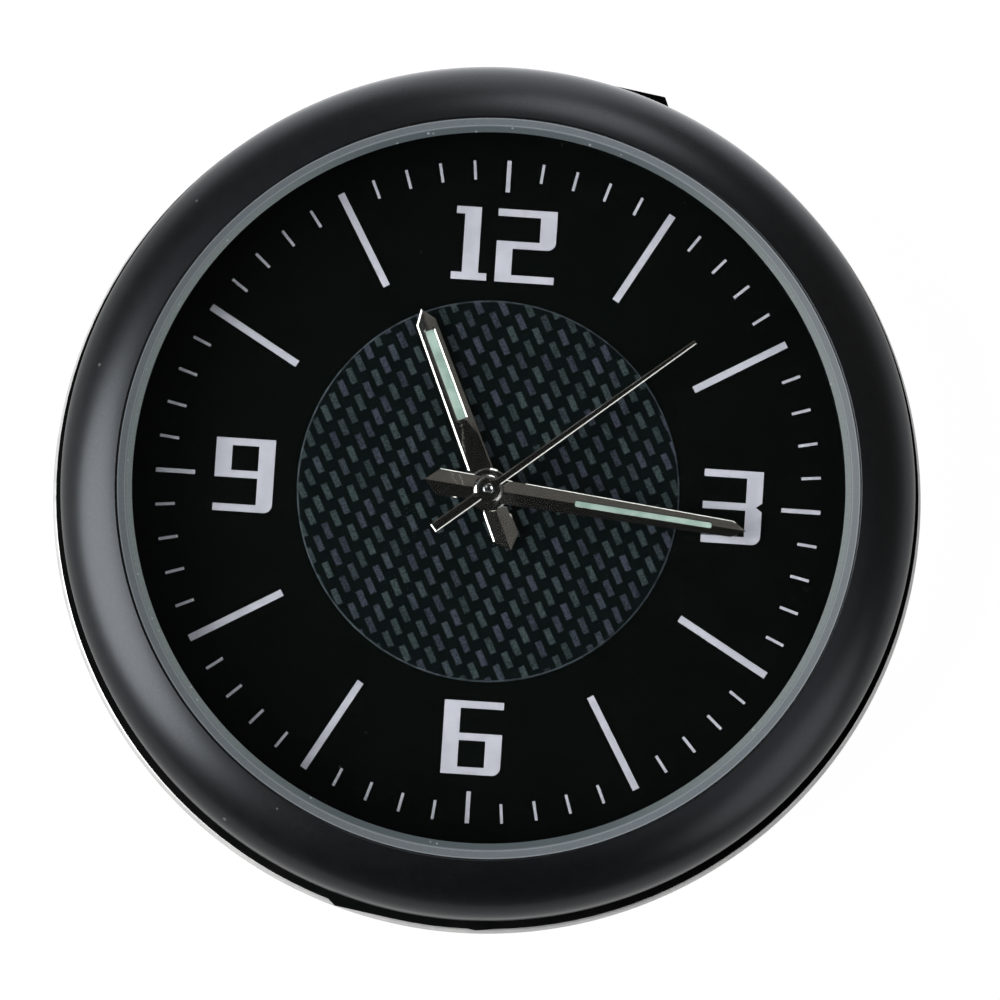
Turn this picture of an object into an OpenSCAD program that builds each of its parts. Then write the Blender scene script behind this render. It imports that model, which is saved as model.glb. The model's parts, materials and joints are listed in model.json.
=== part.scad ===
// Stick-on dashboard clock: a quartz movement behind a bevelled glass in a convex black bezel.
// It lies on its back. The adhesive face is at z = 0, +Z points out of the dial and +Y to twelve o'clock.
// All sizes are in millimetres and all angles in degrees.

/* [Bezel and case] */
// Outside diameter of the bezel
bezel_d = 40; // [38:0.5:44]
// Radial width of the bezel, from its outside to the lip around the glass
bezel_w = 2.75; // [2.6:0.05:3.2]
// Flat land on top of the bezel's lip
lip_land = 0.12; // [0.08:0.02:0.2]
// Slope of the bezel's crown at the lip, in degrees
lip_lean = 15; // [10:1:20]
// Radius of the roll at the bezel's outer edge
roll_r = 2.1; // [1.6:0.05:2.4]
// Radial step of the case flange beyond the bezel
flange_step = 0.2; // [0.1:0.05:0.6]
// Height of the case flange
flange_h = 1.52; // [1.2:0.02:1.8]
// Radial wall of the case neck that carries the glass
neck_wall = 1; // [0.8:0.05:1.2]
// Height of the case neck below the glass
neck_h = 0.9; // [0.6:0.1:1.2]
// Radial step from the case neck out to the case shoulder
shoulder_step = 0.6; // [0.4:0.05:0.7]
// Radial ledge that the dial presses against
dial_seat_w = 0.6; // [0.4:0.05:0.7]
// Length of the long locating lug along the flange
long_lug_w = 6.6; // [3:0.2:9]
// Length of each short locating lug along the flange
short_lug_w = 3.4; // [2:0.2:6]
// Radial height of the long lug at its high end
long_lug_h = 0.15; // [0.05:0.01:0.3]
// Radial height of the short lugs at their high end
short_lug_h = 0.27; // [0.05:0.01:0.3]
// Length of the slope at the high end of a lug
lug_lead = 0.4; // [0.2:0.05:0.8]

/* [Glass] */
// Upright height of the glass edge, up to the bezel's lip
glass_edge_h = 0.8; // [0.6:0.05:1.2]
// Radial width of the ground bevel
glass_bevel_w = 0.7; // [0.4:0.05:1.2]
// Height of the ground bevel
glass_bevel_h = 0.25; // [0.15:0.05:1]
// Radial ledge of the case neck under the glass
glass_seat_w = 0.3; // [0.2:0.05:0.5]
// Radial width of the glass gasket
glass_gasket_w = 0.25; // [0.2:0.01:0.3]
// Height of the glass gasket
glass_gasket_h = 0.4; // [0.3:0.05:0.5]

/* [Back] */
// Radial step of the steel back beyond the bezel
cover_step = 0.4; // [0.2:0.05:0.8]
// Thickness of the steel back
cover_t = 0.6; // [0.4:0.05:1]
// Height of the snap wall that enters the case
snap_h = 1.22; // [0.8:0.02:1.4]
// Radial wall of the snap wall
snap_wall = 0.6; // [0.4:0.05:0.7]
// Radial clearance between the snap wall and the case
snap_gap = 0.1; // [0.05:0.01:0.15]
// Thickness of the back gasket
back_gasket_t = 0.3; // [0.2:0.02:0.5]
// Width of the notch for prying the back off
pry_w = 3; // [2:0.5:6]
// Depth of the notch for prying the back off
pry_depth = 0.7; // [0.4:0.1:1]
// Diameter of the adhesive pad
pad_d = 30; // [20:1:34]
// Thickness of the adhesive pad
pad_t = 1; // [0.6:0.1:2]
// Thickness of the release liner
liner_t = 0.08; // [0.06:0.01:0.15]
// Length of the liner's pull tab
liner_tab_l = 3; // [2:0.5:4]

/* [Dial] */
// Thickness of the dial plate
dial_t = 0.4; // [0.3:0.05:0.6]
// Thickness of the woven centre disc
weave_t = 0.08; // [0.05:0.01:0.15]
// Thickness of the printed marks
print_t = 0.03; // [0.02:0.01:0.06]
// Radial gap between the case neck and the ticks
track_gap = 1.42; // [1:0.02:2]
// Length of a minute tick
minute_tick_l = 0.9; // [0.5:0.05:1.2]
// Width of a minute tick
minute_tick_w = 0.13; // [0.12:0.01:0.4]
// Length of a quarter tick
quarter_tick_l = 1.48; // [1:0.02:2]
// Width of a quarter tick
quarter_tick_w = 0.2; // [0.15:0.01:0.4]
// Extra length of the quarter ticks at three and nine
side_tick_more = 0.34; // [0:0.02:0.6]
// Length of an hour baton
baton_l = 4.8; // [3:0.05:5]
// Width of an hour baton
baton_w = 0.33; // [0.3:0.01:0.7]
// Gap between a quarter tick and its numeral
numeral_gap = 0.78; // [0.3:0.02:1]
// How much nearer to the centre the numerals at three and nine are
side_numeral_in = 0.14; // [0:0.02:0.4]
// Width of a numeral
digit_w = 2.76; // [2:0.02:3.2]
// Height of a numeral
digit_h = 3.42; // [3:0.02:3.8]
// Width of a numeral's upright strokes
digit_stem = 0.76; // [0.5:0.02:0.9]
// Height of a numeral's level strokes
digit_bar = 0.34; // [0.25:0.01:0.5]
// Radius of the round corner of a numeral
digit_corner = 0.4; // [0.2:0.02:0.6]
// Gap between the two numerals of twelve
digit_gap = 0.38; // [0.2:0.02:0.6]
// Gap between the woven centre disc and the numerals
weave_gap = 0.9; // [0.4:0.02:1.2]

/* [Hands] */
// Length of the hour hand from the centre
hour_l = 9; // [7:0.1:10]
// Length of the minute hand from the centre
minute_l = 12.1; // [10:0.1:13]
// Length of the seconds hand from the centre
seconds_l = 11.8; // [9:0.1:13]
// Length of the hour and minute hands' tails
tail_l = 3; // [2:0.1:4]
// Width of the hour and minute hands' tails
tail_w = 1.24; // [1:0.02:1.5]
// Width of the hour hand at its shoulder
hour_w = 0.94; // [0.7:0.02:1]
// Width of the minute hand at its shoulder
minute_w = 0.76; // [0.65:0.02:0.9]
// Length of the pointed ends
point_l = 0.65; // [0.4:0.05:1]
// Length of the seconds hand's tail
seconds_tail_l = 3.16; // [2:0.02:4]
// Width of the seconds hand's tail
seconds_tail_w = 0.44; // [0.3:0.02:0.6]
// Width of the seconds hand at its tip
seconds_tip_w = 0.2; // [0.15:0.01:0.3]
// Radius of the hour and minute hands' hubs
hub_r = 1; // [0.95:0.01:1.1]
// Radius of the seconds hand's hub
seconds_hub_r = 0.7; // [0.5:0.02:0.9]
// Height of the hour and minute hands at their edges
hand_side = 0.1; // [0.08:0.01:0.15]
// Height of the hour and minute hands at their ridges
hand_ridge = 0.22; // [0.18:0.01:0.3]
// Thickness of the seconds hand
seconds_t = 0.12; // [0.08:0.01:0.2]
// Height of the hour hand above the dial
hour_lift = 0.45; // [0.35:0.05:0.8]
// Gap between one hand and the next
hand_gap = 0.18; // [0.15:0.01:0.4]
// Gap between the seconds hand's pipe and the glass
glass_clear = 0.28; // [0.2:0.02:0.6]
// Width of the hour hand's luminous strip
hour_lume_w = 0.44; // [0.3:0.01:0.6]
// Width of the minute hand's luminous strip
minute_lume_w = 0.28; // [0.25:0.01:0.45]

/* [Movement] */
// Diameter of the button cell
cell_d = 6.8; // [5.8:0.1:7.9]
// Height of the button cell
cell_t = 2.6; // [1.6:0.1:2.6]
// Thickness of every wheel
wheel_t = 0.22; // [0.15:0.01:0.25]
// Gap between one level of wheels and the next
wheel_gap = 0.1; // [0.08:0.01:0.15]
// Thickness of the main plate's web between the train and the motion work
web_t = 0.5; // [0.4:0.05:0.7]
// Thickness of the train bridge
bridge_t = 0.41; // [0.3:0.01:0.6]
// Thickness of the centre bridge
centre_bridge_t = 0.23; // [0.18:0.01:0.35]
// Distance from the centre to the third wheel
third_dist = 3.85; // [3.7:0.05:4.2]
// Distance from the centre to the fifth wheel
fifth_dist = 4; // [3.9:0.05:4.3]
// Distance from the fifth wheel to the rotor
rotor_dist = 2.16; // [2:0.02:2.3]
// Distance from the centre to the minute wheel
motion_dist = 2.4; // [2.3:0.02:2.5]
// Radius of the wheels' arbors
arbor_r = 0.12; // [0.1:0.01:0.15]
// Radial clearance of an arbor in its hole, and of one pipe in the next
run_gap = 0.04; // [0.02:0.01:0.06]
// Room between the movement and the steel back
rear_room = 0.9; // [0.7:0.05:2]
// Radius of the rotor's magnet
magnet_r = 0.9; // [0.7:0.05:1]
// Thickness of the stator
stator_t = 0.3; // [0.2:0.02:0.4]
// Length of the coil's winding
coil_l = 6.2; // [5:0.1:6.4]
// Radius of the coil's winding
coil_r = 0.85; // [0.7:0.05:0.9]

/* [Setting] */
// Radius of the setting stem
stem_r = 0.4; // [0.36:0.01:0.45]
// Travel of the crown when it is pulled
crown_pull = 0.9; // [0.6:0.05:1.2]
// Radius of the crown
crown_r = 1.2; // [0.9:0.05:1.25]
// Length of the crown
crown_l = 1.8; // [1.4:0.1:2]

/* [Hidden] */
$fn = 96;

// Clearance of bonded and pressed pieces, and a little extra for cuts that pass a face
fit_gap = 0.05;
press_gap = 0.01;
eps = 0.02;

// Radii of the case, from the bezel inwards
bezel_r = bezel_d / 2;
lip_r = bezel_r - bezel_w;
glass_r = lip_r - fit_gap;
wall_r = glass_r - glass_seat_w;
neck_r = wall_r + neck_wall;
shoulder_r = neck_r + shoulder_step;
bore_r = wall_r + dial_seat_w;
dial_r = bore_r - 2 * fit_gap;
snap_r = shoulder_r - 2 * fit_gap;
flange_r = bezel_r + flange_step;
cover_r = bezel_r + cover_step;

// Heights of the levels in the movement, counted down from the dial's underside
washer_t = 0.08;
down_hour = 2 * fit_gap + washer_t;
down_motion = down_hour + wheel_t + wheel_gap;
down_web = down_motion + wheel_t + wheel_gap;
down_centre = down_web + web_t + wheel_gap;
down_centre_bridge = down_centre + wheel_t + wheel_gap;
down_pinion = down_centre_bridge + centre_bridge_t + wheel_gap;
down_seconds = down_pinion + wheel_t + wheel_gap;
down_bridge = down_seconds + wheel_t + wheel_gap;
train_depth = down_bridge + bridge_t;
contact_t = 0.1;
cell_floor = 0.37;
cell_depth = cell_t + contact_t + fit_gap + cell_floor;
movement_t = max(train_depth, cell_depth);

// Heights of the case, from the adhesive face upwards
z_pad = liner_t;
z_cover = z_pad + pad_t;
z_case = z_cover + cover_t;
z_bezel = z_case + flange_h;
z_plate = z_case + rear_room;
z_dial = z_plate + movement_t;
z_face = z_dial + dial_t;
z_hour = z_face + hour_lift;
z_minute = z_hour + hand_ridge + hand_gap;
z_seconds = z_minute + hand_ridge + hand_gap;
pipe_over = 0.15;
z_pipe_top = z_seconds + seconds_t + pipe_over;
z_glass = z_pipe_top + glass_clear;
z_lip = z_glass + glass_edge_h;
z_glass_top = z_lip + glass_bevel_h;

// Levels of the movement
z_hour_wheel = z_dial - down_hour - wheel_t;
z_motion = z_dial - down_motion - wheel_t;
z_web_top = z_dial - down_web;
z_web = z_web_top - web_t;
z_centre = z_dial - down_centre - wheel_t;
z_centre_bridge = z_dial - down_centre_bridge - centre_bridge_t;
z_pinion = z_dial - down_pinion - wheel_t;
z_seconds_wheel = z_dial - down_seconds - wheel_t;
z_bridge = z_dial - down_bridge - bridge_t;

// Dial layout, from the case wall inwards
tick_r = wall_r - track_gap;
numeral_r = tick_r - quarter_tick_l - numeral_gap - digit_h / 2;
weave_r = numeral_r - digit_h / 2 - weave_gap;
dial_hole_r = 0.95;
one_w = 1.66;
one_serif = 0.4;
one_left = 0.5;
mid_drop = 1.5;
notch_w = 0.29;
notch_h = 0.44;

// Clock angles of the hands at rest, clockwise from twelve
hour_angle = 336;
minute_angle = 95.5;
seconds_angle = 50.8;
hand_root = 1.16;
lume_drop = 0.06;
hour_lume_from = 3.4;
hour_lume_end = 1.05;
minute_lume_from = 4.05;
minute_lume_end = 1.6;
seconds_root_w = 0.34;

// Coaxial pipes at the centre, from the seconds arbor outwards
seconds_arbor_r = 0.1;
tube_in_r = seconds_arbor_r + run_gap;
tube_wall = 0.17;
tube_r = tube_in_r + tube_wall;
cannon_in_r = tube_r + run_gap;
cannon_wall = 0.12;
cannon_r = cannon_in_r + cannon_wall;
hour_in_r = cannon_r + run_gap;
hour_wall = 0.22;
hour_r = hour_in_r + hour_wall;
seconds_pipe_r = 0.25;
collet_wall = 0.22;

// Teeth, as shares of the module and of the pitch angle
addendum = 0.9;
dedendum = 1.25;
tip_half = 0.11;
root_half = 0.3;
seconds_wheel_n = 48;
seconds_pinion_n = 8;
third_wheel_n = 48;
third_pinion_n = 6;
centre_wheel_n = 60;
fifth_pinion_n = 8;
fifth_wheel_n = 40;
rotor_pinion_n = 8;
cannon_n = 10;
minute_wheel_n = 30;
minute_pinion_n = 8;
hour_wheel_n = 32;
setting_n = 20;

// Modules of the gear pairs, from their centre distances
third_m = 2 * third_dist / (seconds_pinion_n + third_wheel_n);
centre_m = 2 * third_dist / (third_pinion_n + centre_wheel_n);
fifth_m = 2 * fifth_dist / (seconds_wheel_n + fifth_pinion_n);
rotor_m = 2 * rotor_dist / (fifth_wheel_n + rotor_pinion_n);
motion_m = 2 * motion_dist / (cannon_n + minute_wheel_n);
setting_dist = motion_m * (minute_wheel_n + setting_n) / 2;

// Places of the wheels, seen from the dial
third_a = 100;
fifth_a = 195;
rotor_a = 210;
minute_a = 25;
setting_a = -10;
third_at = polar(third_dist, third_a);
fifth_at = polar(fifth_dist, fifth_a);
rotor_at = fifth_at + polar(rotor_dist, rotor_a);
minute_at = polar(motion_dist, minute_a);
setting_at = minute_at + polar(setting_dist, setting_a);

// Turns that put every pair of wheels in mesh
third_turn = mesh_turn(third_a, 0, seconds_pinion_n, third_wheel_n);
centre_turn = mesh_turn(third_a + 180, 0, third_pinion_n, centre_wheel_n);
fifth_turn = mesh_turn(fifth_a, 0, seconds_wheel_n, fifth_pinion_n);
rotor_turn = mesh_turn(rotor_a, 0, fifth_wheel_n, rotor_pinion_n);
minute_turn = mesh_turn(minute_a, 0, cannon_n, minute_wheel_n);
hour_turn = mesh_turn(minute_a + 180, 0, minute_pinion_n, hour_wheel_n);
setting_turn = mesh_turn(setting_a, minute_turn, minute_wheel_n, setting_n);

// Room around the wheels, and the outline of the main plate
pocket_gap = 0.2;
core_room = 0.65;
pivot_floor = 0.1;
pivot_end = 0.15;
window_share = 0.28;
centre_tip_r = tip_r(centre_wheel_n, centre_m);
seconds_tip_r = tip_r(seconds_wheel_n, fifth_m);
third_tip_r = tip_r(third_wheel_n, third_m);
fifth_tip_r = tip_r(fifth_wheel_n, rotor_m);
core_r = max(centre_tip_r, seconds_tip_r);
cell_r = cell_d / 2;
cell_gap = 0.12;
cell_wall = 0.4;
cell_inset = 0.48;
movement_r = core_r + cell_inset + cell_d + cell_wall;
cell_a = -55;
cell_at = polar(movement_r - cell_wall - cell_r, cell_a);
z_cell = z_dial - cell_floor - contact_t - fit_gap - cell_t;
cap_inset = 0.6;
cap_t = 0.22;

// Bridges and their screws
arm_r = 0.9;
pivot_pad_r = 1;
third_screw_in = 2.5;
third_screw_a = 95;
rotor_screw_x = -3.6;
rotor_screw_in = 3.9;
core_screw_out = 2.7;
core_screw_a = 35;
bridge_screw_at = [
    polar(movement_r - third_screw_in, third_screw_a),
    [rotor_screw_x, rotor_screw_in - movement_r],
    polar(core_r + core_screw_out, core_screw_a)
];
centre_arm_r = 0.75;
centre_screw_out = 1.15;
centre_screw_at = [for (a = [15, 255]) polar(core_r + centre_screw_out, a)];
screw_head_r = 0.5;
screw_head_t = 0.14;
screw_r = 0.25;
screw_l = 0.9;
slot_w = 0.14;
small_head_r = 0.42;
small_head_t = 0.08;
small_screw_r = 0.2;

// Motor: the stator lies round the rotor, and the coil joins its two ends
z_stator = z_web - wheel_gap - stator_t;
rotor_air = 0.25;
stator_hole_r = magnet_r + rotor_air;
stator_ring_w = 0.4;
stator_ring_r = stator_hole_r + stator_ring_w;
stator_strip_w = 1.3;
stator_arm_w = 0.9;
coil_off = [-2.47, 0.82];
coil_at = rotor_at + coil_off;
core_w = 1;
core_t = 0.3;
core_over = 1.3;
core_l = coil_l + 2 * core_over;
z_core = z_stator - core_t;
z_coil = z_core + core_t / 2;
coil_gap = 0.1;

// Electronics: a curved board with the quartz can and the driver under it
board_in = 7.6;
board_rim = 0.7;
board_out = movement_r - board_rim;
board_from = 110;
board_to = 156;
board_t = 0.2;
board_lift = 0.2;
z_board = z_bridge + board_lift;
can_r = 0.75;
can_l = 5;
can_a = 138;
chip_w = 1.2;
chip_t = 0.5;
chip_a = 115;
parts_r = (board_in + board_out) / 2;

// Cell clip
clip_w = 1.6;
clip_t = 0.2;
clip_over = 0.75;
clip_reach = cell_r + clip_over;
contact_w = 1.2;

// Setting parts along the stem, which lies on the +X side
crown_room = 0.25;
stem_drop = crown_r + crown_room;
z_stem = z_dial - stem_drop;
clutch_gap = 0.32;
clutch_x = setting_at.x + tip_r(setting_n, motion_m) + clutch_gap;
clutch_l = 1.3;
clutch_r = 0.75;
clutch_waist = 0.2;
clutch_teeth = 12;
clutch_tooth = 0.15;
clutch_tooth_w = 0.12;
clutch_tooth_h = 0.22;
clutch_tooth_in = 0.25;
square_w = 0.5;
pilot_r = 0.22;
pilot_hold = 0.8;
pilot_l = pilot_hold + crown_pull;
stop_t = 0.25;
stop_in = 1.1;
stop_x = movement_r - stop_in;
stop_w = 4 * stem_r;
stop_over = 1.5 * stem_r;
groove_depth = 0.12;
groove_r = stem_r - groove_depth;
collar_w = 0.3;
square_over = 0.1;
stem_tip_x = clutch_x - clutch_tooth - square_over - pilot_l;
crown_out = 1.6;
crown_x = movement_r + crown_out;
crown_bore_l = 1.1;
crown_teeth = 24;
knurl_m = 2 * crown_r / (crown_teeth + 2 * addendum);
ring_in_r = movement_r + 2 * fit_gap;
ring_lip = 0.5;
ring_out_r = dial_r;
ring_gap = 0.1;
foot_r = 0.35;
foot_l = 1.2;
foot_a = 60;
foot_in = 0.9;
foot_at_r = (ring_in_r + ring_out_r) / 2 - foot_in;

function polar(r, a) = [r * cos(a), r * sin(a)];
function tip_r(n, m) = m * (n / 2 + addendum);
function root_r(n, m) = m * (n / 2 - dedendum);

// Angle of a length along the flange's edge
function degrees_along(w) = w / flange_r * 180 / PI;

// Turn of a gear of n2 teeth that meets a gear of n1 teeth, turned by t1, in direction a
function mesh_turn(a, t1, n1, n2) = a + 180 + (a - t1) * n1 / n2 + 180 / n2;

// Outline of a gear, with a straight-sided tooth on the +X axis
function gear_outline(n, m) = [
    for (i = [0:n - 1])
        for (k = [0:3])
            let (side = [-root_half, -tip_half, tip_half, root_half][k])
            let (r = abs(side) == tip_half ? tip_r(n, m) : root_r(n, m))
            polar(r, (i + side) * 360 / n)
];

// Outline of a pointed hand that lies along +Y
function hand_outline(l, w) = [
    [0, -tail_l],
    [tail_w / 2, point_l - tail_l],
    [hand_root / 2, 0],
    [w / 2, l - point_l],
    [0, l],
    [-w / 2, l - point_l],
    [-hand_root / 2, 0],
    [-tail_w / 2, point_l - tail_l]
];

// Ring between two radii and two heights
module ring(r_in, r_out, z0, z1) {
    rotate_extrude()
        translate([r_in, z0])
            square([r_out - r_in, z1 - z0]);
}

// Gear from z0 upwards, with a hole of radius bore
module gear(n, m, z0, t, turn, bore) {
    difference() {
        translate([0, 0, z0])
            rotate([0, 0, turn])
                linear_extrude(t)
                    polygon(gear_outline(n, m));
        post(bore, z0 - eps, z0 + t + eps);
    }
}

// Round post between two heights
module post(r, z0, z1) {
    translate([0, 0, z0])
        cylinder(r = r, h = z1 - z0);
}

// Post at a place in the plan
module post_at(p, r, z0, z1) {
    translate([p.x, p.y, 0])
        post(r, z0, z1);
}

// Flat bar with round ends from p to q
module arm(p, q, r, z0, z1) {
    d = q - p;
    post_at(p, r, z0, z1);
    post_at(q, r, z0, z1);
    translate([p.x, p.y, z0])
        rotate([0, 0, atan2(d.y, d.x)])
            translate([0, -r, 0])
                cube([norm(d), 2 * r, z1 - z0]);
}

// Slotted screw whose head lies behind height z and whose shank runs forward from it
module screw(p, z, head_r, head_t, shank_r, shank_l) {
    difference() {
        union() {
            post_at(p, head_r, z - head_t, z);
            post_at(p, shank_r, z - head_t / 2, z + shank_l);
        }
        translate([p.x - head_r - eps, p.y - slot_w / 2, z - head_t - eps])
            cube([2 * head_r + 2 * eps, slot_w, head_t / 2 + eps]);
    }
}

// Round bar along +X at the stem's height
module stem_bar(r, x0, x1) {
    translate([x0, 0, z_stem])
        rotate([0, 90, 0])
            cylinder(r = r, h = x1 - x0);
}

// Section of the bezel's outside: a crown that leans from the lip, and a roll that meets it at 45 degrees
module bezel_outside() {
    join_a = 45;
    land_r = lip_r + lip_land;
    crown_arc_r = (bezel_r - roll_r * (1 - sin(join_a)) - land_r) / (sin(join_a) - sin(lip_lean));
    crown_c = [land_r - crown_arc_r * sin(lip_lean), z_lip - crown_arc_r * cos(lip_lean)];
    z_side = crown_c.y + (crown_arc_r - roll_r) * cos(join_a);
    translate([bezel_r - roll_r, z_side])
        circle(roll_r);
    polygon([[neck_r, z_bezel], [bezel_r, z_bezel], [bezel_r, z_side], [neck_r, z_side]]);
    intersection() {
        translate(crown_c)
            circle(crown_arc_r);
        polygon([crown_c, crown_c + polar(2 * crown_arc_r, join_a), crown_c + polar(2 * crown_arc_r, 90)]);
    }
}

module bezel_ring() {
    z_groove = z_glass + glass_gasket_h;
    groove_out = glass_r + glass_gasket_w + press_gap;
    color([0.1, 0.1, 0.11])
        rotate_extrude()
            intersection() {
                polygon([
                    [shoulder_r + fit_gap, z_bezel],
                    [bezel_r, z_bezel],
                    [bezel_r, z_lip],
                    [lip_r, z_lip],
                    [lip_r, z_groove],
                    [groove_out, z_groove],
                    [groove_out, z_glass],
                    [neck_r + fit_gap, z_glass],
                    [neck_r + fit_gap, z_glass - neck_h],
                    [shoulder_r + fit_gap, z_glass - neck_h]
                ]);
                bezel_outside();
            }
}

module crystal() {
    color([0.75, 0.82, 0.86, 0.35])
        rotate_extrude()
            polygon([
                [0, z_glass],
                [glass_r, z_glass],
                [glass_r, z_lip],
                [glass_r - glass_bevel_w, z_glass_top],
                [0, z_glass_top]
            ]);
}

module crystal_gasket() {
    color([0.07, 0.07, 0.07])
        ring(glass_r + press_gap, glass_r + glass_gasket_w, z_glass, z_glass + glass_gasket_h);
}

// Lug on the case flange: it stands out by h at a clock angle and runs out anticlockwise over the length w
module flange_lug(clock_a, w, h) {
    inner_r = (snap_r + flange_r) / 2;
    high_a = 90 - clock_a;
    low_a = high_a - degrees_along(lug_lead);
    end_a = high_a + degrees_along(w);
    translate([0, 0, z_case])
        linear_extrude(flange_h)
            polygon([
                polar(inner_r, low_a),
                polar(flange_r - press_gap, low_a),
                polar(flange_r + h, high_a),
                polar(flange_r - press_gap, end_a),
                polar(inner_r, end_a)
            ]);
}

module case_body() {
    short_lug_as = [20.2, 196.8];
    long_lug_a = 177.8;
    color([0.09, 0.09, 0.1]) {
        rotate_extrude()
            polygon([
                [snap_r, z_case],
                [flange_r, z_case],
                [flange_r, z_bezel],
                [shoulder_r, z_bezel],
                [shoulder_r, z_glass - neck_h],
                [neck_r, z_glass - neck_h],
                [neck_r, z_glass],
                [wall_r, z_glass],
                [wall_r, z_face],
                [bore_r, z_face],
                [bore_r, z_case + snap_h + back_gasket_t],
                [snap_r, z_case + snap_h + back_gasket_t]
            ]);
        for (a = short_lug_as)
            flange_lug(a, short_lug_w, short_lug_h);
        flange_lug(long_lug_a, long_lug_w, long_lug_h);
    }
}

module back_gasket() {
    snap_out = snap_r - snap_gap;
    z0 = z_case + snap_h;
    color([0.07, 0.07, 0.07])
        ring(snap_out - snap_wall, snap_out, z0, z0 + back_gasket_t);
}

module back_cover() {
    snap_out = snap_r - snap_gap;
    pry_a = 74;
    color([0.72, 0.72, 0.73])
        difference() {
            union() {
                post(cover_r, z_cover, z_case);
                ring(snap_out - snap_wall, snap_out, z_case, z_case + snap_h);
            }
            rotate([0, 0, pry_a])
                translate([cover_r - pry_depth, -pry_w / 2, z_cover - eps])
                    cube([2 * pry_depth, pry_w, cover_t + 2 * eps]);
        }
}

module adhesive_pad() {
    color([0.93, 0.93, 0.9])
        post(pad_d / 2, z_pad, z_cover);
}

module release_liner() {
    tab_w = 7;
    color([0.95, 0.78, 0.3]) {
        post(pad_d / 2, 0, liner_t);
        translate([-tab_w / 2, -pad_d / 2 - liner_tab_l, 0])
            cube([tab_w, pad_d / 2, liner_t]);
    }
}

// Places of the two feet that key the dial to the movement ring
function foot_at(i) = polar(foot_at_r, foot_a + 180 * i);

module dial_plate() {
    color([0.05, 0.05, 0.055]) {
        difference() {
            post(dial_r, z_dial, z_face);
            post(dial_hole_r, z_dial - eps, z_face + eps);
        }
        for (i = [0:1])
            post_at(foot_at(i), foot_r, z_dial - foot_l, z_dial);
    }
}

module weave_disc() {
    color([0.13, 0.15, 0.18])
        ring(dial_hole_r, weave_r, z_face, z_face + weave_t);
}

// Rectangular stroke of printing from its lower left corner
module stroke(x, y, w, h) {
    translate([x, y, z_face])
        cube([w, h, print_t]);
}

// What is cut away to round a lower right corner of printing that ends at x and y
module round_cut(x, y) {
    h = print_t + 2 * eps;
    translate([x - digit_corner, y + digit_corner, z_face - eps])
        difference() {
            translate([0, -digit_corner - eps, 0])
                cube([digit_corner + eps, digit_corner + eps, h]);
            translate([0, 0, -eps])
                cylinder(r = digit_corner, h = h + 2 * eps);
        }
}

// Blocky numeral from its lower left corner.
// The four flags say which upright strokes it has, and cut_y is the level of its round corner.
module digit(upper_left, upper_right, lower_left, lower_right, cut_y) {
    mid_y = digit_h - mid_drop - digit_bar;
    right_x = digit_w - digit_stem;
    difference() {
        union() {
            stroke(0, 0, digit_w, digit_bar);
            stroke(0, mid_y, digit_w, digit_bar);
            stroke(0, digit_h - digit_bar, digit_w, digit_bar);
            if (upper_left)
                stroke(0, mid_y, digit_stem, digit_h - mid_y);
            if (upper_right)
                stroke(right_x, mid_y, digit_stem, digit_h - mid_y);
            if (lower_left)
                stroke(0, 0, digit_stem, mid_y + digit_bar);
            if (lower_right)
                stroke(right_x, 0, digit_stem, mid_y + digit_bar);
        }
        round_cut(digit_w, cut_y);
    }
}

module digit_one() {
    stroke(one_left, 0, digit_stem, digit_h);
    stroke(0, 0, one_w, digit_bar);
    stroke(one_left - one_serif, digit_h - digit_bar, one_serif + digit_stem / 2, digit_bar);
}

module digit_two() {
    digit(false, true, true, false, digit_h - mid_drop - digit_bar);
}

module digit_three() {
    mid_y = digit_h - mid_drop - digit_bar / 2;
    difference() {
        digit(false, true, false, true, 0);
        translate([0, 0, z_face - eps])
            linear_extrude(print_t + 2 * eps)
                polygon([
                    [digit_w + eps, mid_y - notch_h / 2],
                    [digit_w + eps, mid_y + notch_h / 2],
                    [digit_w - notch_w, mid_y]
                ]);
    }
}

module digit_six() {
    digit(true, false, true, true, 0);
}

module digit_nine() {
    digit(true, true, false, true, 0);
}

module dial_numerals() {
    twelve_w = one_w + digit_gap + digit_w;
    half = [digit_w / 2, digit_h / 2];
    side_r = numeral_r - side_numeral_in;
    color([0.8, 0.8, 0.84]) {
        translate([-twelve_w / 2, numeral_r - half.y, 0])
            digit_one();
        translate([twelve_w / 2 - digit_w, numeral_r - half.y, 0])
            digit_two();
        translate([side_r - half.x, -half.y, 0])
            digit_three();
        translate([-half.x, -numeral_r - half.y, 0])
            digit_six();
        translate([-side_r - half.x, -half.y, 0])
            digit_nine();
    }
}

// Radial mark that ends at the tick circle, at a clock angle
module mark(clock_a, l, w) {
    rotate([0, 0, 90 - clock_a])
        stroke(tick_r - l, -w / 2, l, w);
}

module hour_batons() {
    color([0.75, 0.75, 0.78])
        for (h = [1, 2, 4, 5, 7, 8, 10, 11])
            mark(30 * h, baton_l, baton_w);
}

module minute_track() {
    color([0.72, 0.72, 0.74]) {
        for (i = [0:59])
            if (i % 5 != 0)
                mark(6 * i, minute_tick_l, minute_tick_w);
        for (q = [0:3])
            mark(90 * q, quarter_tick_l + (q % 2) * side_tick_more, quarter_tick_w);
    }
}

// Long solid with a ridge along the middle, as wide as a hand's tail
module ridge_bar(l, z0) {
    far = 2 * hub_r;
    translate([0, l + eps, 0])
        rotate([90, 0, 0])
            linear_extrude(l + tail_l + 2 * eps)
                polygon([
                    [-far, z0],
                    [far, z0],
                    [far, z0 + hand_side],
                    [tail_w / 2, z0 + hand_side],
                    [0, z0 + hand_ridge],
                    [-tail_w / 2, z0 + hand_side],
                    [-far, z0 + hand_side]
                ]);
}

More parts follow.
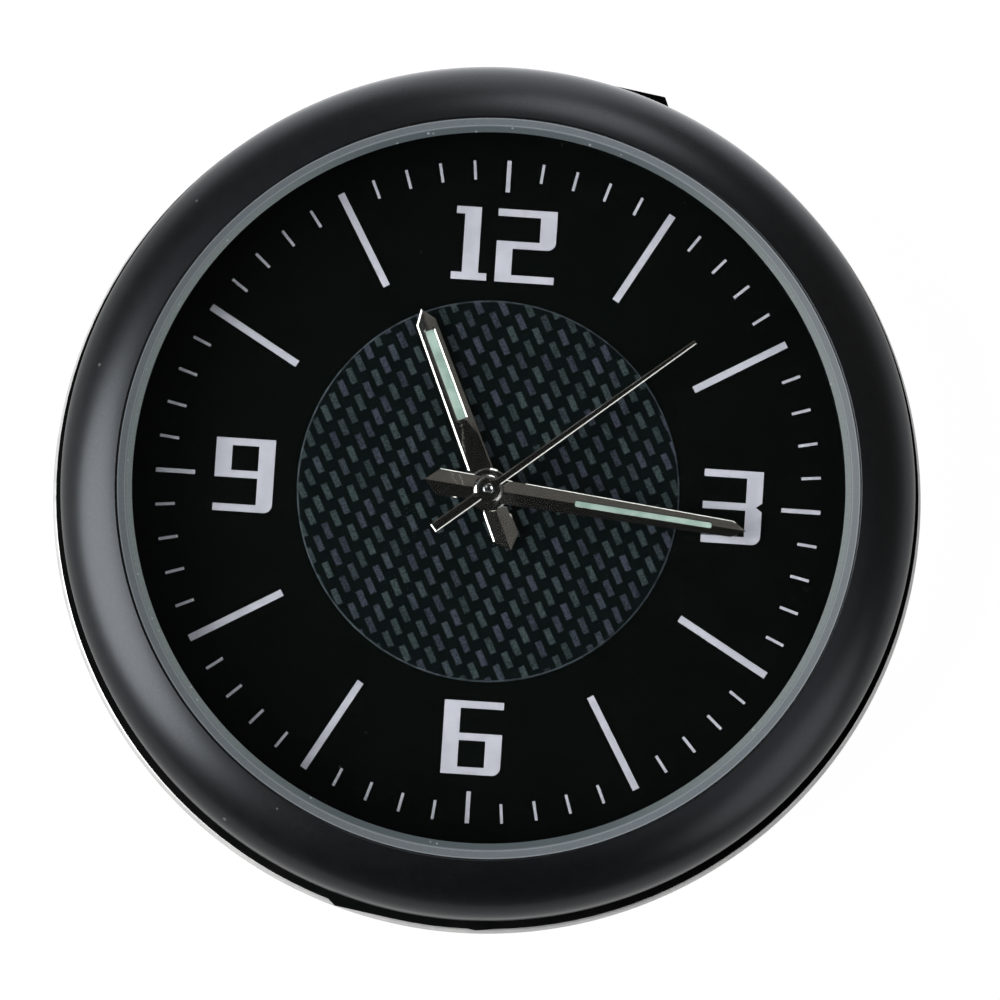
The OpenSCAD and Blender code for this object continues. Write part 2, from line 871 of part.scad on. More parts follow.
// Ridged hand with a slot for its luminous strip and a collet that grips a pipe of radius pipe_r
module pointed_hand(clock_a, l, w, z0, pipe_r, collet_h, lume_from, lume_to, lume_w) {
    hole_r = pipe_r + press_gap;
    rotate([0, 0, -clock_a])
        difference() {
            union() {
                intersection() {
                    translate([0, 0, z0])
                        linear_extrude(hand_ridge)
                            polygon(hand_outline(l, w));
                    ridge_bar(l, z0);
                }
                post(hub_r, z0, z0 + hand_ridge / 2);
                post(hole_r + collet_wall, z0 - collet_h, z0 + hand_ridge);
            }
            post(hole_r, z0 - collet_h - eps, z0 + hand_ridge + eps);
            translate([-lume_w / 2, lume_from, z0 - eps])
                cube([lume_w, lume_to - lume_from, hand_ridge + 2 * eps]);
        }
}

// Luminous strip in a hand's slot
module lume_strip(clock_a, z0, lume_from, lume_to, lume_w) {
    rotate([0, 0, -clock_a])
        translate([press_gap - lume_w / 2, lume_from + press_gap, z0])
            cube([lume_w - 2 * press_gap, lume_to - lume_from - 2 * press_gap, hand_ridge - lume_drop]);
}

module hour_hand() {
    color([0.16, 0.16, 0.16])
        pointed_hand(hour_angle, hour_l, hour_w, z_hour, hour_r, hour_lift / 2,
                     hour_lume_from, hour_l - hour_lume_end, hour_lume_w);
}

module hour_lume() {
    color([0.72, 0.84, 0.78])
        lume_strip(hour_angle, z_hour, hour_lume_from, hour_l - hour_lume_end, hour_lume_w);
}

module minute_hand() {
    color([0.16, 0.16, 0.16])
        pointed_hand(minute_angle, minute_l, minute_w, z_minute, cannon_r, hand_gap / 2,
                     minute_lume_from, minute_l - minute_lume_end, minute_lume_w);
}

module minute_lume() {
    color([0.72, 0.84, 0.78])
        lume_strip(minute_angle, z_minute, minute_lume_from, minute_l - minute_lume_end, minute_lume_w);
}

module seconds_hand() {
    color([0.16, 0.16, 0.16])
        rotate([0, 0, -seconds_angle])
            difference() {
                union() {
                    translate([0, 0, z_seconds])
                        linear_extrude(seconds_t)
                            polygon([
                                [-seconds_root_w / 2, 0],
                                [seconds_root_w / 2, 0],
                                [seconds_tip_w / 2, seconds_l],
                                [-seconds_tip_w / 2, seconds_l]
                            ]);
                    translate([-seconds_tail_w / 2, -seconds_tail_l, z_seconds])
                        cube([seconds_tail_w, seconds_tail_l, seconds_t]);
                    post(seconds_hub_r, z_seconds, z_seconds + seconds_t);
                }
                post(seconds_pipe_r + press_gap, z_seconds - eps, z_seconds + seconds_t + eps);
            }
}

module seconds_pipe() {
    color([0.7, 0.7, 0.7])
        ring(seconds_arbor_r + press_gap, seconds_pipe_r, z_seconds - hand_gap / 2, z_pipe_top);
}

module movement_ring() {
    z0 = z_case + ring_gap;
    side_room = 0.3;
    room_before = 0.5;
    room_after = 0.6;
    room_above = 0.15;
    pocket_w = 2 * (crown_r + side_room);
    pocket_x = crown_x - room_before;
    pocket_l = room_before + crown_l + crown_pull + room_after;
    color([0.85, 0.84, 0.8])
        difference() {
            rotate_extrude()
                polygon([
                    [ring_in_r - ring_lip, z0],
                    [ring_out_r, z0],
                    [ring_out_r, z_dial],
                    [ring_in_r, z_dial],
                    [ring_in_r, z_plate],
                    [ring_in_r - ring_lip, z_plate]
                ]);
            for (i = [0:1])
                post_at(foot_at(i), foot_r + fit_gap, z_dial - foot_l - fit_gap, z_dial + eps);
            translate([pocket_x, -pocket_w / 2, z0 - eps])
                cube([pocket_l, pocket_w, z_stem + crown_r + room_above - z0]);
            stem_bar(stem_r + 3 * fit_gap, ring_in_r - 2 * ring_lip, pocket_x + eps);
        }
}

// Plan of the train bridge, grown by a gap
module bridge_plan(gap, z0, z1) {
    o = [0, 0];
    arm(o, third_at, pivot_pad_r + gap, z0, z1);
    arm(third_at, bridge_screw_at[0], arm_r + gap, z0, z1);
    arm(o, fifth_at, pivot_pad_r + gap, z0, z1);
    arm(fifth_at, rotor_at, pivot_pad_r + gap, z0, z1);
    arm(rotor_at, bridge_screw_at[1], arm_r + gap, z0, z1);
    arm(o, bridge_screw_at[2], arm_r + gap, z0, z1);
}

// Plan of the centre bridge, grown by a gap
module centre_bridge_plan(gap, z0, z1) {
    for (p = centre_screw_at)
        arm([0, 0], p, centre_arm_r + gap, z0, z1);
}

// Plan of the circuit board, grown by a gap
module board_plan(gap, z0, z1) {
    side = 3 * movement_r;
    a0 = board_from - gap / board_in * 180 / PI;
    a1 = board_to + gap / board_in * 180 / PI;
    intersection() {
        ring(board_in - gap, board_out + gap, z0, z1);
        translate([0, 0, z0])
            linear_extrude(z1 - z0)
                polygon([[0, 0], polar(side, a0), polar(side, (a0 + a1) / 2), polar(side, a1)]);
    }
}

// Box that holds the stator's arms, grown by a gap
module stator_plan(gap, z0, z1) {
    half = core_l / 2 + gap;
    strip_x = rotor_at.x - stator_strip_w / 2 - gap;
    strip_end = rotor_at.x + stator_strip_w / 2 + gap;
    arm_x = coil_at.x - core_w / 2 - gap;
    arm_h = stator_arm_w + 2 * gap;
    post_at(rotor_at, stator_ring_r + gap, z0, z1);
    translate([strip_x, coil_at.y - half, z0])
        cube([strip_end - strip_x, 2 * half, z1 - z0]);
    for (y = [coil_at.y - half, coil_at.y + half - arm_h])
        translate([arm_x, y, z0])
            cube([strip_end - arm_x, arm_h, z1 - z0]);
}

// Holes in the main plate for the train side, open to the rear
module train_pockets() {
    rear = z_plate - eps;
    wheel_top = z_dial - down_centre_bridge;
    bridge_plan(fit_gap, rear, z_dial - down_bridge);
    post(core_r + core_room, rear, wheel_top);
    post_at(third_at, third_tip_r + pocket_gap, rear, wheel_top);
    post_at(fifth_at, fifth_tip_r + pocket_gap, rear, wheel_top);
    centre_bridge_plan(fit_gap, rear, wheel_top);
    post(centre_tip_r + pocket_gap, rear, z_web);
    post_at(third_at, tip_r(third_pinion_n, centre_m) + pocket_gap, rear, z_web);
    post_at(fifth_at, arbor_r + pocket_gap, rear, z_web);
    post_at(rotor_at, magnet_r + pocket_gap, rear, z_web);
    stator_plan(fit_gap, rear, z_stator + stator_t);
    for (p = [third_at, fifth_at, rotor_at])
        post_at(p, arbor_r + run_gap, rear, z_web_top - pivot_floor);
}

// Holes in the main plate for the motion work, open to the dial
module motion_pockets() {
    front = z_dial + eps;
    post(tip_r(hour_wheel_n, motion_m) + pocket_gap, z_web_top, front);
    post_at(minute_at, tip_r(minute_wheel_n, motion_m) + pocket_gap, z_web_top, front);
    post_at(setting_at, tip_r(setting_n, motion_m) + pocket_gap, z_web_top, front);
    post(cannon_r + 2 * run_gap, z_web - eps, front);
}

// Holes in the main plate for the cell, coil, board and electronics
module electric_pockets() {
    rear = z_plate - eps;
    winding_w = 2 * (coil_r + coil_gap);
    post_at(cell_at, cell_r + cell_gap, rear, z_dial - cell_floor);
    translate([coil_at.x - winding_w / 2, coil_at.y - core_l / 2 - fit_gap, rear])
        cube([winding_w, core_l + 2 * fit_gap, z_coil + coil_r + coil_gap - rear]);
    board_plan(fit_gap, rear, z_board + board_t);
    rotate([0, 0, can_a])
        translate([parts_r - can_r - fit_gap, -can_l / 2 - fit_gap, rear])
            cube([2 * can_r + 2 * fit_gap, can_l + 2 * fit_gap, z_board + board_t + 2 * can_r + coil_gap - rear]);
    rotate([0, 0, chip_a])
        translate([parts_r - chip_w / 2 - fit_gap, -chip_w / 2 - fit_gap, rear])
            cube([chip_w + 2 * fit_gap, chip_w + 2 * fit_gap, z_board + board_t + chip_t + coil_gap - rear]);
}

// Holes in the main plate for the stem, the clutch and the stem's stop
module setting_pockets() {
    clutch_w = 2 * clutch_r + 4 * fit_gap;
    channel_x = clutch_x - clutch_tooth - 2 * fit_gap;
    channel_l = clutch_l + clutch_tooth + 6 * fit_gap;
    translate([channel_x, -clutch_w / 2, z_stem - clutch_w / 2])
        cube([channel_l, clutch_w, z_dial + eps - z_stem + clutch_w / 2]);
    stem_bar(pilot_r + run_gap, stem_tip_x - 2 * fit_gap, channel_x + eps);
    stem_bar(stem_r + run_gap, channel_x + channel_l - eps, movement_r + eps);
    translate([stop_x - press_gap, -stop_w / 2 - press_gap, z_plate - eps])
        cube([stop_t + 2 * press_gap, stop_w + 2 * press_gap, z_stem + stop_over + run_gap - z_plate + eps]);
}

// Holes in the main plate for the screws
module screw_holes() {
    for (p = bridge_screw_at)
        post_at(p, screw_r + press_gap, z_plate - eps, z_bridge + screw_l + fit_gap);
    for (p = centre_screw_at)
        post_at(p, small_screw_r + press_gap, z_plate - eps, z_centre_bridge + screw_l + fit_gap);
    for (p = clip_screw_at())
        post_at(p, screw_r + press_gap, z_plate - eps, z_plate + screw_l + fit_gap);
}

module main_plate() {
    color([0.2, 0.22, 0.24]) {
        difference() {
            post(movement_r, z_plate, z_dial);
            train_pockets();
            motion_pockets();
            electric_pockets();
            setting_pockets();
            screw_holes();
        }
        for (p = [minute_at, setting_at])
            post_at(p, arbor_r + run_gap, z_web_top - eps, z_dial - down_hour);
    }
}

module train_bridge() {
    color([0.78, 0.76, 0.7])
        difference() {
            bridge_plan(0, z_bridge, z_bridge + bridge_t);
            for (p = [third_at, fifth_at, rotor_at])
                post_at(p, arbor_r + run_gap, z_bridge - eps, z_bridge + bridge_t + eps);
            post(seconds_arbor_r + run_gap, z_bridge - eps, z_bridge + bridge_t + eps);
            for (p = bridge_screw_at)
                post_at(p, screw_r + fit_gap, z_bridge - eps, z_bridge + bridge_t + eps);
        }
}

module bridge_screws() {
    color([0.75, 0.75, 0.76])
        for (p = bridge_screw_at)
            screw(p, z_bridge, screw_head_r, screw_head_t, screw_r, screw_l);
}

module centre_bridge() {
    z1 = z_centre_bridge + centre_bridge_t;
    color([0.7, 0.68, 0.62])
        difference() {
            centre_bridge_plan(0, z_centre_bridge, z1);
            post(tube_r + press_gap, z_centre_bridge - eps, z1 + eps);
            for (p = centre_screw_at)
                post_at(p, small_screw_r + fit_gap, z_centre_bridge - eps, z1 + eps);
        }
}

module centre_bridge_screws() {
    color([0.75, 0.75, 0.76])
        for (p = centre_screw_at)
            screw(p, z_centre_bridge, small_head_r, small_head_t, small_screw_r, screw_l);
}

module centre_tube() {
    color([0.8, 0.8, 0.8])
        ring(tube_in_r, tube_r, z_centre_bridge, z_minute + hand_side);
}

module dial_washer() {
    z0 = z_dial - fit_gap - washer_t;
    color([0.75, 0.62, 0.3])
        ring(hour_r + 2 * fit_gap, 2 * hub_r, z0, z0 + washer_t);
}

module hour_wheel() {
    color([0.78, 0.63, 0.3])
        difference() {
            union() {
                gear(hour_wheel_n, motion_m, z_hour_wheel, wheel_t, hour_turn, hour_in_r);
                post(hour_r, z_hour_wheel, z_hour + hand_side);
            }
            post(hour_in_r, z_hour_wheel - eps, z_hour + hand_side + eps);
        }
}

module cannon_pinion() {
    z1 = z_minute + hand_ridge - fit_gap;
    color([0.7, 0.7, 0.68])
        difference() {
            union() {
                gear(cannon_n, motion_m, z_motion, wheel_t, 0, cannon_in_r);
                post(cannon_r, z_centre, z1);
            }
            post(cannon_in_r, z_centre - eps, z1 + eps);
        }
}

// Four round holes that lighten a wheel of radius r
module wheel_windows(r, hub, z0) {
    mid = (r + hub) / 2;
    for (i = [0:3])
        post_at(polar(mid, 45 + 90 * i), window_share * (r - hub), z0 - eps, z0 + wheel_t + eps);
}

module centre_wheel() {
    color([0.78, 0.63, 0.3])
        difference() {
            gear(centre_wheel_n, centre_m, z_centre, wheel_t, centre_turn, cannon_r + press_gap);
            wheel_windows(root_r(centre_wheel_n, centre_m), cannon_r, z_centre);
        }
}

module minute_wheel() {
    hole_r = arbor_r + 2 * run_gap;
    color([0.78, 0.63, 0.3])
        translate([minute_at.x, minute_at.y, 0]) {
            gear(minute_wheel_n, motion_m, z_motion, wheel_t, minute_turn, hole_r);
            gear(minute_pinion_n, motion_m, z_motion + wheel_t - press_gap,
                 wheel_t + wheel_gap + press_gap, 0, hole_r);
        }
}

module setting_wheel() {
    color([0.78, 0.63, 0.3])
        translate([setting_at.x, setting_at.y, 0])
            gear(setting_n, motion_m, z_motion, wheel_t, setting_turn, arbor_r + 2 * run_gap);
}

// Arbor from inside the train bridge to a height above
module arbor(r, z1) {
    post(r, z_bridge + fit_gap, z1);
}

module third_wheel() {
    color([0.78, 0.63, 0.3])
        translate([third_at.x, third_at.y, 0]) {
            difference() {
                gear(third_wheel_n, third_m, z_pinion, wheel_t, third_turn, arbor_r / 2);
                wheel_windows(root_r(third_wheel_n, third_m), arbor_r, z_pinion);
            }
            gear(third_pinion_n, centre_m, z_pinion + wheel_t, z_centre - z_pinion, 0, arbor_r / 2);
            arbor(arbor_r, z_web_top - pivot_end);
        }
}

module seconds_wheel() {
    color([0.78, 0.63, 0.3]) {
        difference() {
            gear(seconds_wheel_n, fifth_m, z_seconds_wheel, wheel_t, 0, seconds_arbor_r / 2);
            wheel_windows(root_r(seconds_wheel_n, fifth_m), seconds_arbor_r, z_seconds_wheel);
        }
        gear(seconds_pinion_n, third_m, z_seconds_wheel + wheel_t,
             wheel_gap + wheel_t, 0, seconds_arbor_r / 2);
        arbor(seconds_arbor_r, z_pipe_top - eps);
    }
}

module fifth_wheel() {
    color([0.78, 0.63, 0.3])
        translate([fifth_at.x, fifth_at.y, 0]) {
            gear(fifth_pinion_n, fifth_m, z_seconds_wheel, wheel_t + wheel_gap, fifth_turn, arbor_r / 2);
            gear(fifth_wheel_n, rotor_m, z_pinion, wheel_t, 0, arbor_r / 2);
            arbor(arbor_r, z_web_top - pivot_end);
        }
}

module rotor_pinion() {
    color([0.9, 0.88, 0.82])
        translate([rotor_at.x, rotor_at.y, 0]) {
            gear(rotor_pinion_n, rotor_m, z_pinion, wheel_t, rotor_turn, arbor_r / 2);
            arbor(arbor_r, z_web_top - pivot_end);
        }
}

module rotor_magnet() {
    color([0.35, 0.35, 0.37])
        translate([rotor_at.x, rotor_at.y, 0])
            ring(arbor_r + press_gap, magnet_r, z_stator, z_stator + stator_t);
}

module stator() {
    color([0.6, 0.6, 0.6])
        difference() {
            stator_plan(0, z_stator, z_stator + stator_t);
            post_at(rotor_at, stator_hole_r, z_stator - eps, z_stator + stator_t + eps);
        }
}

module coil_core() {
    color([0.6, 0.6, 0.6])
        translate([coil_at.x - core_w / 2, coil_at.y - core_l / 2, z_core])
            cube([core_w, core_l, core_t]);
}

module coil_winding() {
    color([0.72, 0.4, 0.2])
        difference() {
            translate([coil_at.x, coil_at.y + coil_l / 2, z_coil])
                rotate([90, 0, 0])
                    cylinder(r = coil_r, h = coil_l);
            translate([coil_at.x - core_w / 2 - press_gap, coil_at.y - coil_l, z_core - press_gap])
                cube([core_w + 2 * press_gap, 2 * coil_l, core_t + 2 * press_gap]);
        }
}

module circuit_board() {
    color([0.1, 0.35, 0.2])
        board_plan(0, z_board, z_board + board_t);
}

module quartz_can() {
    color([0.8, 0.8, 0.82])
        rotate([0, 0, can_a])
            translate([parts_r, can_l / 2, z_board + board_t + can_r + press_gap])
                rotate([90, 0, 0])
                    cylinder(r = can_r, h = can_l);
}

module driver_chip() {
    color([0.05, 0.05, 0.05])
        rotate([0, 0, chip_a])
            translate([parts_r - chip_w / 2, -chip_w / 2, z_board + board_t])
                cube([chip_w, chip_w, chip_t]);
}

module button_cell() {
    z1 = z_cell + cell_t;
    color([0.8, 0.8, 0.78]) {
        post_at(cell_at, cell_r, z_cell, z1 - cap_t);
        post_at(cell_at, cell_r - cap_inset, z1 - cap_t - eps, z1);
    }
}

// Places of the two screws of the cell clip
function clip_screw_at() = [for (s = [-1, 1]) cell_at + polar(s * clip_reach, cell_a + 90)];

module cell_clip() {
    ends = clip_screw_at();
    color([0.75, 0.75, 0.74])
        difference() {
            arm(ends[0], ends[1], clip_w / 2, z_plate - clip_t, z_plate);
            for (p = ends)
                post_at(p, screw_r + fit_gap, z_plate - clip_t - eps, z_plate + eps);
        }
}

module clip_screws() {
    color([0.75, 0.75, 0.76])
        for (p = clip_screw_at())
            screw(p, z_plate - clip_t, screw_head_r, screw_head_t, screw_r, screw_l);
}

module negative_contact() {
    color([0.8, 0.68, 0.35])
        arm(cell_at, cell_at + polar(cell_r - contact_w, cell_a + 180), contact_w / 2,
            z_dial - cell_floor - contact_t, z_dial - cell_floor);
}

module clutch() {
    square_hole = square_w + 2 * fit_gap;
    color([0.7, 0.7, 0.7])
        difference() {
            union() {
                stem_bar(clutch_r, clutch_x, clutch_x + clutch_l / 3);
                stem_bar(clutch_r - clutch_waist, clutch_x, clutch_x + clutch_l);
                stem_bar(clutch_r, clutch_x + 2 * clutch_l / 3, clutch_x + clutch_l);
                for (i = [0:clutch_teeth - 1])
                    translate([clutch_x - clutch_tooth, 0, z_stem])
                        rotate([i * 360 / clutch_teeth, 0, 0])
                            translate([0, -clutch_tooth_w / 2, clutch_r - clutch_tooth_in])
                                cube([clutch_tooth + eps, clutch_tooth_w, clutch_tooth_h]);
            }
            translate([clutch_x - clutch_l, -square_hole / 2, z_stem - square_hole / 2])
                cube([3 * clutch_l, square_hole, square_hole]);
        }
}

module setting_stem() {
    square_x = stem_tip_x + pilot_l;
    collar_x = stop_x - crown_pull - 2 * fit_gap - collar_w;
    groove_x = stop_x - crown_pull - fit_gap;
    color([0.78, 0.78, 0.78]) {
        stem_bar(pilot_r, stem_tip_x, square_x + eps);
        translate([square_x, -square_w / 2, z_stem - square_w / 2])
            cube([collar_x - square_x + eps, square_w, square_w]);
        stem_bar(stem_r, collar_x, groove_x);
        stem_bar(groove_r, groove_x - eps, stop_x + stop_t + fit_gap + eps);
        stem_bar(stem_r, stop_x + stop_t + fit_gap, crown_x + crown_bore_l - fit_gap);
    }
}

module crown() {
    color([0.8, 0.8, 0.8])
        difference() {
            translate([crown_x, 0, z_stem])
                rotate([0, 90, 0])
                    linear_extrude(crown_l)
                        polygon(gear_outline(crown_teeth, knurl_m));
            stem_bar(stem_r + press_gap, crown_x - eps, crown_x + crown_bore_l);
        }
}

module stem_stop() {
    fork_w = 2 * (groove_r + fit_gap);
    fork_z = z_stem - groove_r - fit_gap;
    color([0.72, 0.72, 0.72])
        translate([stop_x, 0, 0])
            difference() {
                translate([0, -stop_w / 2, z_plate])
                    cube([stop_t, stop_w, z_stem + stop_over - z_plate]);
                translate([-eps, -fork_w / 2, fork_z])
                    cube([stop_t + 2 * eps, fork_w, 4 * stem_r]);
            }
}

bezel_ring();
crystal();
crystal_gasket();
case_body();
back_gasket();
back_cover();
adhesive_pad();
release_liner();
dial_plate();
weave_disc();
dial_numerals();
hour_batons();
minute_track();
hour_hand();
hour_lume();
minute_hand();
minute_lume();
seconds_hand();
seconds_pipe();
movement_ring();
main_plate();
train_bridge();
bridge_screws();
centre_bridge();
centre_bridge_screws();
centre_tube();
dial_washer();
hour_wheel();
cannon_pinion();
centre_wheel();
minute_wheel();
setting_wheel();
third_wheel();
seconds_wheel();
fifth_wheel();
rotor_pinion();
rotor_magnet();
stator();
coil_core();
coil_winding();
circuit_board();
quartz_can();
driver_chip();
button_cell();
cell_clip();
clip_screws();
negative_contact();
clutch();
setting_stem();
crown();
stem_stop();
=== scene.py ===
"""A stick-on dashboard clock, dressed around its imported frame.

Pieces are modelled in millimetres and are scaled to metres when they are finished.
"""

from __future__ import annotations

import json
import logging
import math
from collections.abc import Iterator, Sequence
from contextlib import contextmanager
from dataclasses import dataclass
from enum import Enum
from itertools import pairwise

import bpy
from bpy.types import Material, Node, NodeSocket, NodeTree, Object
from mathutils import Matrix, Vector

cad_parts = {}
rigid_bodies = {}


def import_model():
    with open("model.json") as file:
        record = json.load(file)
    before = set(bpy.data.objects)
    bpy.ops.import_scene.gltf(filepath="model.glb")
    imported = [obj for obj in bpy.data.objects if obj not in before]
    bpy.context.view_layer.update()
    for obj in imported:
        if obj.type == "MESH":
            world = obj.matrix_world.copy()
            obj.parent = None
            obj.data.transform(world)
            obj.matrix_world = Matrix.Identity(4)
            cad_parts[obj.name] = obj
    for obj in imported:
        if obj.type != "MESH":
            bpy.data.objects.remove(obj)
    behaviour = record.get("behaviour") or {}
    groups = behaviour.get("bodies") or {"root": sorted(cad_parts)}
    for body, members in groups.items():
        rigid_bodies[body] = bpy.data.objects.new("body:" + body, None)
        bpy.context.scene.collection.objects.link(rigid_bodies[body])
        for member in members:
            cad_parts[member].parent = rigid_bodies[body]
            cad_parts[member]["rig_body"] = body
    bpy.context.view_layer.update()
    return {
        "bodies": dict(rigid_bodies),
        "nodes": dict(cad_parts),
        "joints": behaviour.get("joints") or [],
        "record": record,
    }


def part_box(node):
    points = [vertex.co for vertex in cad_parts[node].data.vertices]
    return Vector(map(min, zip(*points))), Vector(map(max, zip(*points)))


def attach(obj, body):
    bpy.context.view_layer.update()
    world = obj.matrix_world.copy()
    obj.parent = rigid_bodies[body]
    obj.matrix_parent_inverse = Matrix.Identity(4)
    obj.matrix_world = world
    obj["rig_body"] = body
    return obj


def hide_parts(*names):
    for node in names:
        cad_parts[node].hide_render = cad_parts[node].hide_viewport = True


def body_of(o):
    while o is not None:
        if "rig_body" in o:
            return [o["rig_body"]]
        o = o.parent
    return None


log = logging.getLogger("clock")

Color = tuple[float, float, float]
Point = tuple[float, float]
Place = tuple[float, float, float]

MM = 0.001
MERGE = 1e-3
SEED = 0.01
PAST = 1.0
QUARTER = 90.0
FLAT_WITHIN = 0.5
SHARP_FROM = 35.0
CRISP = 12.0
LOOKS_UP = 0.5
CORNER_FACETS = 4
TURN_STEPS = 192
RIM_STEPS = 256
HUB_STEPS = 96
LEVEL = (1.0, 1.0, 0.0)
WHITE = (1.0, 1.0, 1.0)
GRAIN_SPAN = (0.3, 0.7)
GLOSS_SPAN = (0.25, 0.75)
TONE_SPAN = (0.35, 0.65)


def srgb(red: int, green: int, blue: int) -> Color:
    """Turns a screen colour into a linear one.

    Args:
        red: Red from 0 to 255.
        green: Green from 0 to 255.
        blue: Blue from 0 to 255.

    Returns:
        The colour that the shaders take.
    """
    shares = (red / 255, green / 255, blue / 255)
    return tuple(s / 12.92 if s < 0.04045 else ((s + 0.055) / 1.055) ** 2.4 for s in shares)


def arc(center: Point, radius: float, start: float, end: float, steps: int) -> list[Point]:
    """Gives points along an arc of a turned profile.

    Args:
        center: Radius and height of the arc's centre.
        radius: Radius of the arc.
        start: First angle from upright, in degrees.
        end: Last angle from upright, in degrees.
        steps: Number of pieces the arc is cut into.

    Returns:
        The points, from start to end.
    """
    points = []
    for step in range(steps + 1):
        angle = math.radians(start + (end - start) * step / steps)
        points.append((center[0] + radius * math.sin(angle), center[1] + radius * math.cos(angle)))
    return points


class Cut(Enum):
    """What one solid does to another."""

    ADD = "UNION"
    TAKE = "DIFFERENCE"


class Grain(Enum):
    """How a finish's fine marks run over the piece."""

    EVEN = (1.0, 1.0, 1.0)
    ALONG_X = (0.04, 1.0, 1.0)
    RINGS = LEVEL


def select_only(piece: Object) -> None:
    """Makes one piece the selected and active one.

    Args:
        piece: The piece.
    """
    bpy.ops.object.select_all(action="DESELECT")
    piece.select_set(True)
    bpy.context.view_layer.objects.active = piece


def settle(piece: Object) -> None:
    """Takes a piece's place, turn and scale into its mesh."""
    select_only(piece)
    bpy.ops.object.transform_apply(location=True, rotation=True, scale=True)


@contextmanager
def editing(piece: Object) -> Iterator[None]:
    """Opens a piece for editing with all of it selected, and closes it again.

    Args:
        piece: The piece.

    Yields:
        Nothing, while the piece is open.
    """
    select_only(piece)
    bpy.ops.object.mode_set(mode="EDIT")
    bpy.ops.mesh.select_mode(type="VERT")
    bpy.ops.mesh.select_all(action="SELECT")
    yield
    bpy.ops.object.mode_set(mode="OBJECT")


def face_outward() -> None:
    """Turns all faces of the open piece outward."""
    bpy.ops.mesh.select_all(action="SELECT")
    bpy.ops.mesh.normals_make_consistent(inside=False)


def pick_tops(piece: Object) -> None:
    """Selects the faces of an open piece that look up, and only those.

    Args:
        piece: The piece, which is open for editing.
    """
    bpy.ops.mesh.select_mode(type="FACE")
    bpy.ops.mesh.select_all(action="DESELECT")
    bpy.ops.object.mode_set(mode="OBJECT")
    for face in piece.data.polygons:
        face.select = face.normal.z > LOOKS_UP
    bpy.ops.object.mode_set(mode="EDIT")


def inset_tops(piece: Object, width: float) -> None:
    """Insets the faces of an open piece that look up, and leaves the inner part selected.

    Args:
        piece: The piece, which is open for editing.
        width: Width of the new border.
    """
    pick_tops(piece)
    bpy.ops.mesh.inset(thickness=width, use_boundary=True, use_even_offset=True)


def chain(name: str, places: Sequence[Place]) -> Object:
    """Draws a line of points by extruding one point from place to place.

    Args:
        name: Name of the new object.
        places: The places of the points.

    Returns:
        The object, with its place in its mesh.
    """
    bpy.ops.object.select_all(action="DESELECT")
    bpy.ops.mesh.primitive_plane_add(size=SEED, location=places[0])
    piece = bpy.context.object
    piece.name = name
    with editing(piece):
        bpy.ops.mesh.merge(type="CENTER")
        for here, there in pairwise(places):
            move = Vector(there) - Vector(here)
            bpy.ops.mesh.extrude_vertices_move(TRANSFORM_OT_translate={"value": move})
    settle(piece)
    return piece


def turned(name: str, profile: Sequence[Point], steps: int = TURN_STEPS) -> Object:
    """Spins a closed profile round the clock's axis.

    Args:
        name: Name of the new object.
        profile: Radius and height of each corner of the profile.
        steps: Number of pieces in the full turn.

    Returns:
        The closed solid.
    """
    loop = [*profile, profile[0]]
    piece = chain(name, [(radius, 0.0, z) for radius, z in loop])
    with editing(piece):
        bpy.ops.mesh.spin(steps=steps, angle=2 * math.pi, center=(0, 0, 0), axis=(0, 0, 1))
        bpy.ops.mesh.select_all(action="SELECT")
        bpy.ops.mesh.remove_doubles(threshold=MERGE)
        bpy.ops.mesh.select_all(action="SELECT")
        bpy.ops.mesh.delete_loose(use_verts=True, use_edges=True, use_faces=False)
        face_outward()
    return piece


def plate(name: str, outline: Sequence[Point], low: float, high: float) -> Object:
    """Makes a flat plate from its outline.

    Args:
        name: Name of the new object.
        outline: Corners of the outline in x and y.
        low: Height of the underside.
        high: Height of the top.

    Returns:
        The closed solid.
    """
    loop = [*outline, outline[0]]
    piece = chain(name, [(x, y, low) for x, y in loop])
    with editing(piece):
        bpy.ops.mesh.remove_doubles(threshold=MERGE)
        bpy.ops.mesh.select_all(action="SELECT")
        bpy.ops.mesh.edge_face_add()
        bpy.ops.mesh.extrude_region_move(TRANSFORM_OT_translate={"value": (0, 0, high - low)})
        face_outward()
    return piece


def block(name: str, low: Place, high: Place, round_r: float = 0.0) -> Object:
    """Makes a box whose upright edges are rounded.

    Args:
        name: Name of the new object.
        low: Lowest corner.
        high: Highest corner.
        round_r: Radius of the upright edges.

    Returns:
        The closed solid.
    """
    outline = [(low[0], low[1]), (high[0], low[1]), (high[0], high[1]), (low[0], high[1])]
    piece = plate(name, outline, low[2], high[2])
    if round_r:
        with editing(piece):
            bpy.ops.mesh.select_all(action="DESELECT")
            bpy.ops.mesh.select_mode(type="EDGE")
            bpy.ops.object.mode_set(mode="OBJECT")
            for edge in piece.data.edges:
                start, end = (piece.data.vertices[i].co for i in edge.vertices)
                edge.select = abs(start.z - end.z) > MERGE
            bpy.ops.object.mode_set(mode="EDIT")
            bpy.ops.mesh.bevel(offset=round_r, segments=CORNER_FACETS, affect="EDGES")
    return piece


def cut(piece: Object, tool: Object, how: Cut) -> Object:
    """Adds one solid to another or takes it away, and uses it up.

    Args:
        piece: The solid that stays.
        tool: The solid that is used up.
        how: Whether the tool is added or taken away.

    Returns:
        The piece that stays.
    """
    select_only(piece)
    change = piece.modifiers.new("cut", "BOOLEAN")
    change.operation = how.value
    change.solver = "EXACT"
    change.object = tool
    bpy.ops.object.modifier_apply(modifier=change.name)
    bpy.data.objects.remove(tool, do_unlink=True)
    return piece


